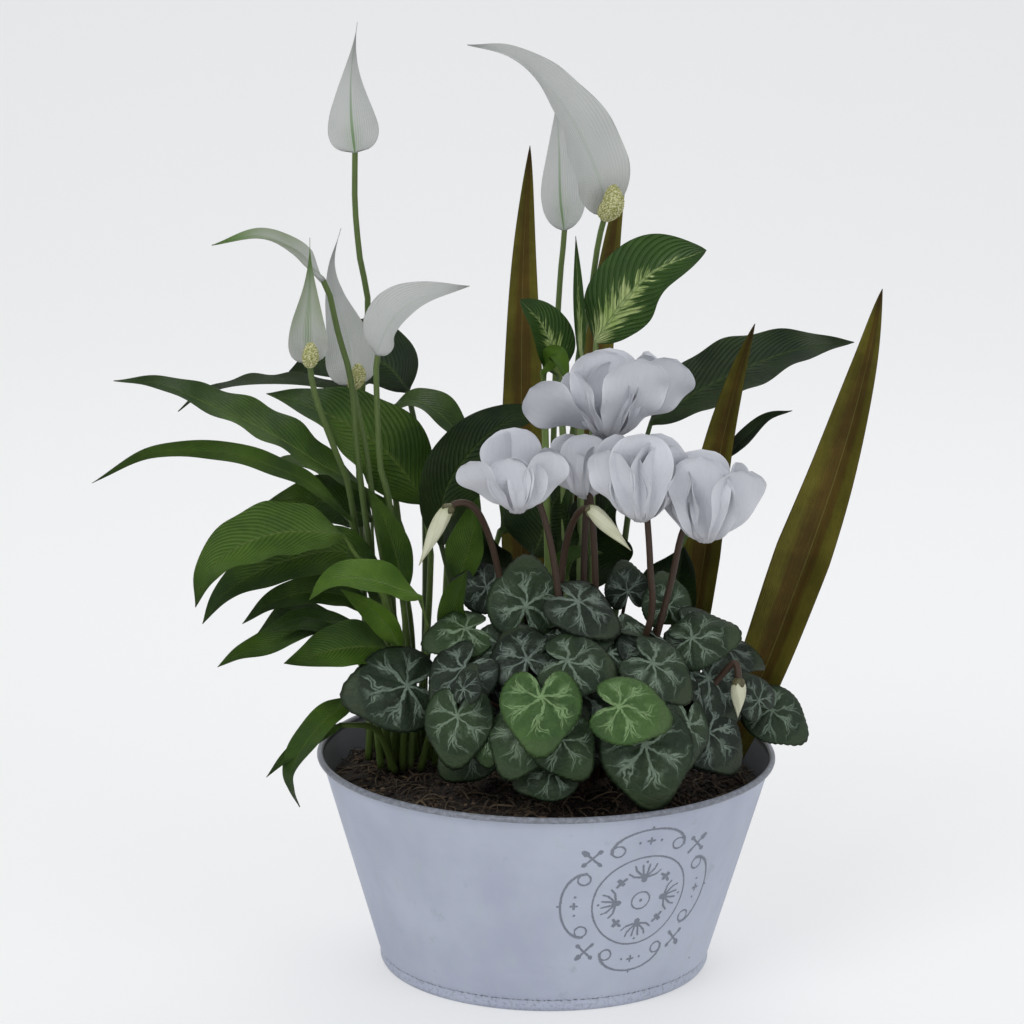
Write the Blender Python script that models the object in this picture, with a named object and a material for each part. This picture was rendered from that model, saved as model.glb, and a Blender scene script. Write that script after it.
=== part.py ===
"""Mixed house plants in a round sheet-metal bowl: cyclamen, two peace lilies,
a streaked dieffenbachia and a sword-leaved flax, planted in peaty soil.

The origin is the middle of the bowl's flat underside, +Z up and -Y the front.
"""

import math

import bmesh
import bpy
from mathutils import Vector

# Driving dimensions, in metres.
BOWL_HEIGHT = 0.121
RIM_RADIUS = 0.128
BASE_RADIUS = 0.0925
SHEET = 0.0010
BEAD_RADIUS = 0.0018
BEAD_STEPS = 6
FOOT_HEIGHT = 0.006
SOIL_DROP = 0.012
SOIL_CROWN = 0.004
CLEARANCE = 0.0003
TUBER_RADIUS = 0.017
TUBER_PROUD = 0.005
LEAF_THICKNESS = 0.0013
PETAL_THICKNESS = 0.0010
SWORD_THICKNESS = 0.0016
LILY_STALK = 0.0017
CYCLAMEN_STALK = 0.0010
CYCLAMEN_STEM = 0.0014
PETAL_BREADTH = 0.6

# The planting is laid out in millimetres for a bowl of this rim radius, and
# spreads with the rim. Its heights are measured from the soil.
LAYOUT_RIM_RADIUS = 0.128
SPREAD = RIM_RADIUS / LAYOUT_RIM_RADIUS
MM = 0.001
SOIL_TOP = BOWL_HEIGHT - SOIL_DROP
BOWL_SIDES = 48
BLADE_RINGS = 8
LEAF_SIDES = 16
LEAF_EDGE = 0.75  # share of the half-width at which a blade starts to thin
PETAL_EDGE = 0.6
STALK_SIDES = 4
STALK_RINGS = 6
UP = Vector((0, 0, 1))
FRONT = Vector((0, -1, 0))
TUBER_PLACE = (22, -22)

FINISHES = {
    "zinc": ((0.45, 0.48, 0.57), 0.55, 0.15),
    "soil": ((0.028, 0.018, 0.012), 0.95, 0.0),
    "tuber": ((0.06, 0.035, 0.02), 0.9, 0.0),
    "cyclamen_leaf": ((0.03, 0.07, 0.035), 0.45, 0.0),
    "lily_leaf": ((0.04, 0.11, 0.02), 0.35, 0.0),
    "streaked_leaf": ((0.16, 0.28, 0.07), 0.4, 0.0),
    "sword_leaf": ((0.12, 0.09, 0.02), 0.45, 0.0),
    "petal": ((0.80, 0.80, 0.84), 0.5, 0.0),
}


def clear_scene():
    for old in list(bpy.data.objects):
        bpy.data.objects.remove(old, do_unlink=True)


def own_material(name, finish):
    """A Principled material for one sub-part."""
    colour, roughness, metallic = FINISHES[finish]
    made = bpy.data.materials.new(name)
    made.use_nodes = True
    shader = made.node_tree.nodes["Principled BSDF"]
    shader.inputs["Base Color"].default_value = (*colour, 1.0)
    shader.inputs["Roughness"].default_value = roughness
    shader.inputs["Metallic"].default_value = metallic
    return made


def add_object(name, builder, finish):
    """One named object from a bmesh, shaded smooth."""
    bmesh.ops.recalc_face_normals(builder, faces=builder.faces)
    mesh = bpy.data.meshes.new(name)
    builder.to_mesh(mesh)
    builder.free()
    mesh.shade_smooth()
    mesh.set_sharp_from_angle(angle=math.radians(50))
    made = bpy.data.objects.new(name, mesh)
    mesh.materials.append(own_material(name, finish))
    bpy.context.scene.collection.objects.link(made)
    return made


def unite(body, others):
    """Joins closed solids into the body with Boolean unions."""
    for other in others:
        union = body.modifiers.new("union", "BOOLEAN")
        union.operation = "UNION"
        union.solver = "MANIFOLD"
        union.object = other
    bpy.context.view_layer.update()
    evaluated = body.evaluated_get(bpy.context.evaluated_depsgraph_get())
    joined = bpy.data.meshes.new_from_object(evaluated)
    body.modifiers.clear()
    body.data = joined
    for other in others:
        bpy.data.objects.remove(other, do_unlink=True)


# The bowl and its soil


def turned(name, outline, finish):
    """A closed body turned about Z from (radius, height) pairs.

    An outline that stays off the axis closes on itself.
    """
    builder = bmesh.new()
    rings = []
    for radius, height in outline:
        ring = []
        for step in range(BOWL_SIDES if radius else 1):
            angle = 2 * math.pi * step / BOWL_SIDES
            place = (radius * math.cos(angle), radius * math.sin(angle), height)
            ring.append(builder.verts.new(place))
        rings.append(ring)
    pairs = list(zip(rings, rings[1:]))
    if len(rings[0]) > 1:
        pairs.append((rings[-1], rings[0]))
    for lower, upper in pairs:
        for step in range(BOWL_SIDES):
            after = step + 1
            corners = [lower[step % len(lower)], lower[after % len(lower)]]
            corners += [upper[after % len(upper)], upper[step % len(upper)]]
            builder.faces.new(list(dict.fromkeys(corners)))
    return add_object(name, builder, finish)


def wall_radius(height):
    """Outer radius of the sheet at a height: an upright foot, then a cone."""
    share = max(height - FOOT_HEIGHT, 0) / (BOWL_HEIGHT - FOOT_HEIGHT)
    return BASE_RADIUS + (RIM_RADIUS - BEAD_RADIUS - BASE_RADIUS) * share


def build_bowl():
    """The sheet wall with its foot and rolled rim bead, and the disc let into its foot."""
    shoulder = BOWL_HEIGHT - 2 * BEAD_RADIUS
    outer = [(BASE_RADIUS, 0.0), (BASE_RADIUS, FOOT_HEIGHT), (wall_radius(shoulder), shoulder)]
    bead = []
    bead_middle = RIM_RADIUS - BEAD_RADIUS
    for step in range(BEAD_STEPS + 1):
        angle = math.radians(-45 + 255 * step / BEAD_STEPS)
        across = bead_middle + BEAD_RADIUS * math.cos(angle)
        bead.append((across, BOWL_HEIGHT - BEAD_RADIUS + BEAD_RADIUS * math.sin(angle)))
    inner = [(radius - SHEET, level) for radius, level in reversed(outer)]
    turned("bowl_wall", outer + bead + inner, "zinc")

    disc_radius = BASE_RADIUS - SHEET - CLEARANCE
    turned("bowl_base", [(0, 0.0), (disc_radius, 0.0), (disc_radius, SHEET), (0, SHEET)], "zinc")


def build_soil():
    """Peat that fills the bowl, a little higher in the middle, with a hollow for the tuber."""
    floor = SHEET + CLEARANCE
    edge = SOIL_TOP - SOIL_CROWN
    outline = [(0, floor)]
    for level in (floor, FOOT_HEIGHT, edge):
        outline.append((wall_radius(level) - SHEET - CLEARANCE, level))
    outline.append((RIM_RADIUS * 0.72, SOIL_TOP - SOIL_CROWN * 0.25))
    outline.append((RIM_RADIUS * 0.4, SOIL_TOP))
    outline.append((0, SOIL_TOP))
    soil = turned("potting_soil", outline, "soil")
    hollow = tuber_solid("tuber_hollow", CLEARANCE)
    hollow.hide_render = True
    hollow.display_type = "WIRE"
    cut = soil.modifiers.new("tuber hollow", "BOOLEAN")
    cut.operation = "DIFFERENCE"
    cut.solver = "EXACT"
    cut.object = hollow


def tuber_solid(name, grown):
    """The flattened round tuber, larger all over by a given amount."""
    builder = bmesh.new()
    bmesh.ops.create_icosphere(builder, subdivisions=2, radius=TUBER_RADIUS + grown)
    flat = 0.6
    for vert in builder.verts:
        vert.co.z *= flat
        vert.co.x += TUBER_PLACE[0] * MM * SPREAD
        vert.co.y += TUBER_PLACE[1] * MM * SPREAD
        vert.co.z += SOIL_TOP + TUBER_PROUD - TUBER_RADIUS * flat
    return add_object(name, builder, "tuber")


# Leaves, stalks and petals


def planted(point):
    """World place of a layout point: plan spread with the rim, height above the soil."""
    return Vector((point.x * SPREAD, point.y * SPREAD, point.z + SOIL_TOP))


def layout(points):
    return [Vector(point) * MM for point in points]


def smooth_path(points, count):
    """Evenly spaced points on a Catmull-Rom curve through the given points."""
    padded = [points[0] * 2 - points[1], *points, points[-1] * 2 - points[-2]]
    fine = []
    for before, start, end, after in zip(padded, padded[1:], padded[2:], padded[3:]):
        for step in range(12):
            t = step / 12
            bend = before * 2 - start * 5 + end * 4 - after
            pull = start * 3 - before - end * 3 + after
            fine.append((start * 2 + (end - before) * t + bend * t * t + pull * t**3) * 0.5)
    fine.append(points[-1])
    travelled = [0.0]
    for here, following in zip(fine, fine[1:]):
        travelled.append(travelled[-1] + (following - here).length)
    path = []
    index = 0
    for step in range(count):
        target = travelled[-1] * step / (count - 1)
        while travelled[index + 1] < target and index < len(fine) - 2:
            index += 1
        share = (target - travelled[index]) / (travelled[index + 1] - travelled[index])
        path.append(fine[index].lerp(fine[index + 1], min(share, 1.0)))
    return path


# Half-width of a blade along its length, as a share of the widest place.
def lance(t):
    return math.sin(math.pi * t**0.8) ** 0.9 * (1 - 0.25 * t)


def hooded(t):
    return math.sin(math.pi * t**0.62) ** 0.85 * (1 - 0.45 * t)


def sword(t):
    return min(1.0, 0.6 + 1.2 * t) * (1 - t**2.2) ** 0.8


def oval(t):
    return math.sin(math.pi * t**0.85) ** 0.75


def spoon(t):
    return (0.25 + 0.75 * math.sin(math.pi * min(t * 0.62, 0.5))) * (1 - t**6) ** 0.5


THICKNESS = {sword: SWORD_THICKNESS, spoon: PETAL_THICKNESS}


class Strip:
    """A closed body lofted along a path from rings of eight points: edge, top, edge, underside."""

    THROUGH = (0.0, 0.85, 1.0, 0.85, 0.0, -0.85, -1.0, -0.85)

    def __init__(self, edge):
        self.builder = bmesh.new()
        self.across = (-1.0, -edge, 0.0, edge, 1.0, edge, 0.0, -edge)
        self.last = None

    def ring(self, middle, side, out, half_width, half_depth, fold):
        ring = []
        for across, through in zip(self.across, self.THROUGH):
            rise = half_depth * through + fold * half_width * (abs(across) - 0.5)
            place = middle + side * (half_width * across) + out * rise
            ring.append(self.builder.verts.new(planted(place)))
        if self.last is None:
            self.builder.faces.new(ring)
        else:
            for index in range(8):
                after = (index + 1) % 8
                corners = [self.last[index], self.last[after], ring[after], ring[index]]
                self.builder.faces.new(corners)
        self.last = ring

    def close(self, name, finish):
        self.builder.faces.new(self.last)
        return add_object(name, self.builder, finish)


def frame_at(path, index, face):
    """Sideways and outward directions at a point of a path whose outside looks along face."""
    ahead = path[min(index + 1, len(path) - 1)] - path[max(index - 1, 0)]
    ahead.normalize()
    side = ahead.cross(face)
    side.normalize()
    return side, side.cross(ahead)


def stalked_blade(
    name, finish, stalk, blade, width, shape, faces, radius=LILY_STALK, fold=0.25, rings=BLADE_RINGS
):
    """A leaf, spathe or petal with its stalk: one body along the stalk's path, then the blade's.

    faces holds the way the blade's upper side looks at its base and at its tip.
    """
    strip = Strip(PETAL_EDGE if shape is spoon else LEAF_EDGE)
    faces = [Vector(face).normalized() for face in faces]
    thick = THICKNESS.get(shape, LEAF_THICKNESS)
    if stalk:
        path = smooth_path(layout(stalk), max(3, len(stalk) + 1))
        for index in range(len(path) - 1):
            side, out = frame_at(path, index, faces[0])
            strip.ring(path[index], side, out, radius, radius, 0)
    path = smooth_path(layout(blade), rings)
    for index, middle in enumerate(path):
        t = index / (rings - 1)
        side, out = frame_at(path, index, faces[0].lerp(faces[1], t))
        half = max(width * MM / 2 * shape(t), radius * (1 - t), 0.0004)
        depth = max(thick / 2, radius * (1 - 2.5 * t))
        strip.ring(middle, side, out, half, min(depth, half), fold * min(1, 4 * t))
    return strip.close(name, finish)


def round_stem(name, finish, path, radii):
    """A stem or bud: rings along the path with a radius for each."""
    strip = Strip(PETAL_EDGE)
    for index, (middle, radius) in enumerate(zip(path, radii)):
        side, out = frame_at(path, index, FRONT)
        strip.ring(middle, side, out, radius, radius, 0)
    return strip.close(name, finish)


# Peace lily leaves: stalk, then blade from base to tip, widest place, faces.
UPWARD = (0.1, -0.45, 0.9)
LILY_LEAVES = {
    "lily_leaf_upper_left": (
        [(-86, 24, 1), (-86, 29, 60), (-89, 30, 122)],
        [
            (-101, 23, 153), (-126, 12, 172), (-154, 4, 192),
            (-189, -2, 209), (-213, -2, 218), (-239, 0, 219),
        ],
        34,
        (UPWARD, UPWARD),
    ),
    "lily_leaf_thin_left": (
        [(-88, 42, 1), (-90, 54, 100), (-94, 62, 180)],
        [(-108, 66, 203), (-143, 66, 208), (-175, 68, 206), (-197, 68, 199), (-211, 70, 188)],
        26,
        ((0, 0.35, 1), (0, 0.2, 1)),
    ),
    "lily_leaf_broad": (
        [(-74, 30, 1), (-68, 42, 70), (-66, 46, 120)],
        [(-70, 44, 142), (-89, 40, 171), (-111, 36, 189), (-134, 34, 200), (-158, 34, 206)],
        52,
        ((-0.2, -0.9, 0.5), UPWARD),
    ),
    "lily_leaf_back": (
        [(-70, 38, 1), (-70, 66, 100), (-72, 78, 170)],
        [(-81, 80, 199), (-94, 88, 214), (-117, 94, 218), (-150, 100, 206)],
        46,
        ((0, -0.8, 0.6), (0, -0.8, 0.7)),
    ),
    "lily_leaf_right_arm": (
        [(-80, 44, 1), (-82, 60, 90), (-90, 64, 165)],
        [(-90, 60, 193), (-75, 53, 200), (-58, 47, 191), (-50, 44, 176), (-61, 46, 158)],
        26,
        ((0, -0.4, 1), (0.9, -0.5, 0.2)),
    ),
    "lily_leaf_lower_left": (
        [(-92, 16, 1), (-94, 15, 60), (-100, 10, 110)],
        [
            (-109, 1, 142), (-132, -12, 166), (-160, -24, 181),
            (-183, -30, 187), (-216, -34, 186), (-247, -38, 170),
        ],
        20,
        ((0.3, -0.6, 0.8), (0, -0.9, 0.4)),
    ),
    "lily_leaf_side": (
        [(-96, 32, 1), (-100, 34, 60), (-98, 34, 110)],
        [(-99, 32, 135), (-117, 25, 146), (-137, 18, 150), (-156, 14, 149)],
        34,
        ((0, -0.8, 0.6), (0, -0.7, 0.7)),
    ),
    "lily_leaf_arching_upper": (
        [(-80, -6, 1), (-79, -18, 55), (-92, -22, 112)],
        [
            (-112, -22, 138), (-135, -32, 144), (-155, -42, 143),
            (-174, -50, 135), (-184, -54, 124), (-190, -56, 106),
        ],
        38,
        ((0, -0.7, 0.7), (-0.5, -0.8, 0.2)),
    ),
    "lily_leaf_arching_lower": (
        [(-88, 10, 1), (-87, 4, 50), (-86, 0, 92)],
        [
            (-92, -2, 115), (-115, -8, 127), (-141, -20, 125),
            (-163, -28, 117), (-178, -34, 107), (-188, -38, 92),
        ],
        34,
        ((0, -0.7, 0.7), (-0.5, -0.8, 0.2)),
    ),
    "lily_leaf_front": (
        [(-78, 10, 1), (-68, -14, 55), (-64, -30, 90)],
        [(-69, -42, 109), (-88, -54, 121), (-106, -66, 127), (-118, -74, 125), (-127, -80, 117)],
        26,
        ((0, -0.5, 0.85), (-0.3, -0.8, 0.4)),
    ),
    "lily_leaf_middle_left": (
        [(-100, 12, 1), (-97, 8, 50), (-95, 6, 74)],
        [(-99, 3, 89), (-113, -1, 100), (-134, -8, 103), (-153, -14, 98), (-168, -18, 87)],
        22,
        ((0, -0.6, 0.8), (-0.4, -0.8, 0.4)),
    ),
    "lily_leaf_low_left": (
        [(-93, 4, 1), (-93, -1, 50), (-97, -7, 76)],
        [
            (-105, -14, 87), (-127, -22, 90), (-142, -28, 85),
            (-156, -33, 79), (-169, -37, 75), (-180, -39, 68),
        ],
        22,
        ((0, -0.4, 0.9), (-0.3, -0.9, 0.3)),
    ),
    "lily_leaf_low_front": (
        [(-86, -2, 1), (-84, -10, 40), (-83, -15, 62)],
        [(-87, -21, 74), (-100, -30, 79), (-116, -38, 79), (-129, -44, 76), (-143, -48, 73)],
        32,
        ((0, -0.7, 0.7), (-0.2, -0.8, 0.5)),
    ),
    "lily_leaf_hanging": (
        [(-86, -6, 1), (-90, -16, 30), (-95, -26, 46)],
        [
            (-104, -36, 51), (-120, -50, 43), (-132, -59, 30),
            (-139, -62, 16), (-138, -62, 6), (-134, -59, -5),
        ],
        19,
        ((0, -0.8, 0.7), (-0.9, -0.6, 0.2)),
    ),
    "lily_leaf_young": (
        [(-76, -2, 1), (-74, -14, 40), (-76, -22, 62)],
        [(-80, -26, 77), (-88, -32, 91), (-97, -38, 102), (-112, -45, 114)],
        17,
        ((-0.4, -0.9, 0.3), (-0.4, -0.9, 0.3)),
    ),
    "lily_leaf_upright": (
        [(-74, 18, 1), (-76, 6, 50), (-78, -2, 80)],
        [(-80, -8, 100), (-83, -12, 124), (-90, -15, 146), (-99, -17, 164)],
        20,
        ((0.5, -0.9, 0.1), (0.4, -0.9, 0.2)),
    ),
    "dark_leaf_right": (
        [(30, 48, 1), (40, 54, 90), (48, 58, 160)],
        [(57, 60, 186), (85, 66, 206), (119, 74, 221), (144, 82, 227), (173, 92, 228)],
        44,
        ((-0.2, -0.7, 0.7), (0, -0.6, 0.8)),
    ),
    "dark_leaf_left": (
        [(-12, 46, 1), (-36, 40, 50), (-54, 36, 92)],
        [(-60, 34, 120), (-58, 32, 150), (-44, 26, 176), (-25, 20, 194), (2, 14, 203)],
        40,
        ((0.5, -0.8, 0.3), (-0.2, -0.8, 0.5)),
    ),
}

# Streaked leaves, laid out as the lily leaves are.
STREAKED_LEAVES = {
    "streaked_leaf_large": (
        [(26, 30, 1), (24, 28, 110), (24, 24, 215)],
        [(25, 20, 240), (39, 14, 264), (56, 8, 283), (84, 4, 294)],
        44,
        ((-0.3, -0.9, 0.4), (0.1, -0.7, 0.7)),
    ),
    "streaked_leaf_small": (
        [(12, 26, 1), (10, 24, 100), (7, 20, 200)],
        [(5, 16, 222), (1, 12, 240), (-6, 8, 254), (-17, 2, 266)],
        26,
        ((0.4, -0.9, 0.3), (0.4, -0.8, 0.5)),
    ),
}

# Sword leaves stand in the soil with no stalk.
SWORD_LEAVES = {
    "sword_leaf_tall": (
        [(-13, 82, 1), (-15, 90, 100), (-16, 96, 190), (-16, 104, 271), (-13, 112, 336)],
        31,
    ),
    "sword_leaf_behind": (
        [(8, 92, 1), (16, 98, 97), (24, 106, 202), (34, 113, 282), (42, 118, 325)],
        32,
    ),
    "sword_leaf_short": (
        [(74, 62, 1), (84, 60, 80), (94, 52, 163), (104, 44, 214), (113, 36, 248)],
        31,
    ),
    "sword_leaf_right": (
        [(99, 18, 1), (118, 20, 45), (136, 22, 96), (158, 22, 165), (173, 18, 226), (181, 14, 272)],
        40,
    ),
}
SWORD_FACES = {
    "sword_leaf_tall": ((0.2, -1, 0), (0.2, -1, 0)),
    "sword_leaf_behind": ((0.4, -1, 0), (0.6, -1, 0)),
    "sword_leaf_short": ((-0.6, -1, 0.2), (-0.6, -1, 0.2)),
    "sword_leaf_right": ((-0.5, -1, 0.3), (-0.6, -1, 0.2)),
}

# Peace lily flowers: stem, spathe from base to tip, widest place, faces, spadix or none.
LILY_FLOWERS = {
    "lily_flower_tall": (
        [
            (-98, 44, 1), (-106, 53, 110), (-107, 54, 180), (-102, 47, 252),
            (-106, 43, 279), (-109, 44, 310), (-109, 44, 336),
        ],
        [(-109, 44, 340), (-111, 44, 363), (-111, 46, 385), (-108, 50, 411)],
        26,
        ((0, 1, 0.1), (0, 1, 0.1)),
        None,
    ),
    "lily_flower_greenish": (
        [
            (-80, 22, 1), (-94, 12, 90), (-102, 8, 146), (-106, 4, 182),
            (-109, 2, 220), (-116, 0, 247), (-121, 0, 270),
        ],
        [(-124, -1, 276), (-138, -6, 293), (-157, -12, 302), (-183, -16, 297)],
        20,
        ((0, -0.2, 1), (0, -0.5, 1)),
        None,
    ),
    "lily_flower_budding": (
        [
            (-100, 24, 1), (-103, 21, 90), (-110, 8, 155),
            (-117, -4, 181), (-126, -16, 210), (-130, -21, 230),
        ],
        [(-130, -22, 234), (-131, -24, 252), (-130, -21, 275), (-130, -18, 302)],
        20,
        ((0.1, -1, 0.1), (0.1, -1, 0.1)),
        [(-130, -23, 235), (-129, -30, 240), (-129, -31, 247)],
    ),
    "lily_flower_tailed": (
        [
            (-78, 26, 1), (-80, 16, 50), (-88, 13, 95),
            (-96, 13, 140), (-102, 18, 180), (-108, 22, 208),
        ],
        [(-109, 23, 213), (-112, 24, 238), (-119, 26, 262), (-121, 28, 280), (-116, 30, 300)],
        26,
        ((0.1, -1, 0.1), (0.1, -1, 0.1)),
        [(-109, 22, 214), (-106, 16, 220), (-106, 15, 227)],
    ),
    "lily_flower_right": (
        [(-72, 24, 1), (-80, 8, 90), (-88, 0, 153), (-93, -3, 176), (-95, -6, 230)],
        [(-94, -6, 236), (-89, -8, 254), (-74, -12, 268), (-44, -20, 277)],
        31,
        ((-0.6, -0.8, 0.3), (-0.3, -0.6, 0.8)),
        None,
    ),
    "lily_flower_great": (
        [(14, 50, 1), (12, 46, 120), (15, 40, 220), (21, 35, 256), (25, 28, 290), (28, 23, 306)],
        [
            (29, 21, 310), (25, 14, 335), (12, 6, 364),
            (-5, -2, 387), (-23, -10, 401), (-46, -16, 406),
        ],
        40,
        ((0.3, -1, 0.2), (0.3, -0.4, 0.8)),
        [(29, 20, 311), (33, 12, 317), (33, 10, 328)],
    ),
    "lily_flower_rear": (
        [(4, 58, 1), (2, 60, 120), (3, 58, 220), (5, 57, 270), (7, 57, 292)],
        [(7, 57, 296), (5, 58, 318), (4, 62, 340), (2, 68, 366)],
        29,
        ((0.2, 1, 0.1), (0.2, 1, 0.1)),
        None,
    ),
}

# Cyclamen leaves: where the stalk meets the blade, tip, width, and the way the blade looks.
CYCLAMEN_LEAVES = {
    "cyclamen_leaf_01": ((-33, -14, 108), (-58, -12, 114), 28, (-0.2, -0.8, 0.6)),
    "cyclamen_leaf_02": ((-12, -42, 105), (-10, -31, 133), 40, (0.1, -1, 0.35)),
    "cyclamen_leaf_03": ((16, -50, 110), (51, -62, 93), 38, (0.4, -0.6, 0.75)),
    "cyclamen_leaf_04": ((-44, -42, 92), (-74, -50, 88), 34, (-0.1, -0.55, 0.85)),
    "cyclamen_leaf_05": ((-76, -47, 61), (-115, -64, 61), 48, (-0.3, -0.85, 0.45)),
    "cyclamen_leaf_06": ((-45, -66, 76), (-69, -78, 50), 38, (-0.4, -0.8, 0.5)),
    "cyclamen_leaf_07": ((-48, -81, 54), (-51, -91, 31), 38, (-0.3, -0.85, 0.4)),
    "cyclamen_leaf_08": ((-11, -65, 81), (-18, -49, 97), 38, (0, -0.8, 0.6)),
    "cyclamen_leaf_09": ((11, -78, 84), (44, -84, 80), 38, (0, -0.75, 0.7)),
    "cyclamen_leaf_10": ((-3, -98, 70), (-3, -112, 52), 42, (0, -0.8, 0.6)),
    "cyclamen_leaf_11": ((39, -102, 66), (68, -107, 62), 38, (0.05, -0.8, 0.6)),
    "cyclamen_leaf_12": ((53, -96, 44), (58, -110, 12), 48, (0, -0.93, 0.35)),
    "cyclamen_leaf_13": ((57, -72, 82), (89, -78, 62), 38, (0.2, -0.65, 0.75)),
    "cyclamen_leaf_14": ((76, -78, 50), (76, -94, 19), 36, (0.65, -0.75, 0.2)),
    "cyclamen_leaf_15": ((-11, -91, 50), (-22, -105, 29), 38, (-0.2, -0.85, 0.4)),
    "cyclamen_leaf_16": ((4, -92, 27), (-24, -100, 20), 30, (-0.2, -0.85, 0.5)),
    "cyclamen_leaf_17": ((79, -41, 88), (104, -44, 95), 35, (0.2, -0.65, 0.75)),
    "cyclamen_leaf_18": ((124, -20, 42), (150, -30, 26), 34, (0.3, -0.8, 0.55)),
}

# Cyclamen flowers: stem, the nose it hooks into, then for each petal the compass angle that it
# leans to, its lean, its length and the compass angle that it faces.
CYCLAMEN_FLOWERS = {
    "cyclamen_flower_left": (
        [
            (18, -25, 5), (10, -36, 60), (6, -46, 110), (1, -54, 144),
            (-5, -58, 166), (-11, -58, 178), (-17, -62, 172),
        ],
        (-17, -62, 163),
        [
            (260, 14, 36, 262), (209, 40, 40, 240), (96, 17, 46, 100),
            (328, 22, 40, 290), (20, 30, 34, 325),
        ],
    ),
    "cyclamen_flower_middle": (
        [
            (22, -17, 5), (24, -20, 60), (26, -28, 106), (24, -40, 150),
            (22, -44, 168), (20, -42, 178), (20, -38, 172),
        ],
        (20, -38, 166),
        [
            (265, 8, 40, 265), (200, 30, 34, 240), (130, 20, 36, 130),
            (60, 16, 36, 60), (345, 16, 34, 300),
        ],
    ),
    "cyclamen_flower_front": (
        [
            (27, -27, 5), (44, -36, 60), (56, -44, 100), (55, -52, 130),
            (53, -58, 156), (51, -58, 174), (49, -64, 168),
        ],
        (49, -66, 160),
        [
            (268, 4, 52, 268), (215, 22, 46, 240), (325, 8, 46, 300),
            (140, 16, 48, 140), (50, 12, 48, 50),
        ],
    ),
    "cyclamen_flower_right": (
        [
            (28, -20, 5), (50, -30, 50), (60, -38, 90), (67, -44, 122),
            (72, -52, 150), (80, -54, 164), (82, -60, 156),
        ],
        (84, -62, 148),
        [
            (255, 8, 52, 255), (318, 24, 48, 290), (12, 28, 44, 310),
            (186, 10, 46, 210), (98, 14, 50, 98),
        ],
    ),
    "cyclamen_flower_top": (
        [
            (22, -22, 5), (20, -18, 80), (20, -16, 140), (24, -18, 190),
            (27, -22, 210), (31, -28, 212), (32, -32, 206),
        ],
        (32, -34, 198),
        [
            (190, 58, 50, 250), (255, 10, 54, 265), (300, 30, 58, 285),
            (350, 36, 56, 290), (90, 20, 50, 90),
        ],
    ),
}

# Hanging cyclamen buds: the stem's route, over and down to the bud's tip.
CYCLAMEN_BUDS = {
    "cyclamen_bud_left": [
        (15, -20, 5), (-8, -24, 60), (-23, -28, 105), (-31, -40, 140), (-39, -53, 161),
        (-48, -58, 166), (-56, -62, 160), (-69, -70, 134),
    ],
    "cyclamen_bud_right": [
        (24, -28, 5), (12, -24, 60), (7, -26, 100), (9, -34, 135), (15, -50, 158),
        (22, -62, 164), (30, -69, 158), (44, -76, 145),
    ],
}


def heart_outline(angle):
    """Distance from the stalk to a heart-shaped leaf's edge, over its half-width.

    The tip is at angle 0 and the notch at the stalk opposite it.
    """
    tip = 0.34 * math.exp(-((angle / 0.42) ** 2))
    notch = 0.72 * math.exp(-(((math.pi - abs(angle)) / 0.36) ** 2))
    return 0.96 + 0.06 * math.cos(angle) + tip - notch


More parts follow.
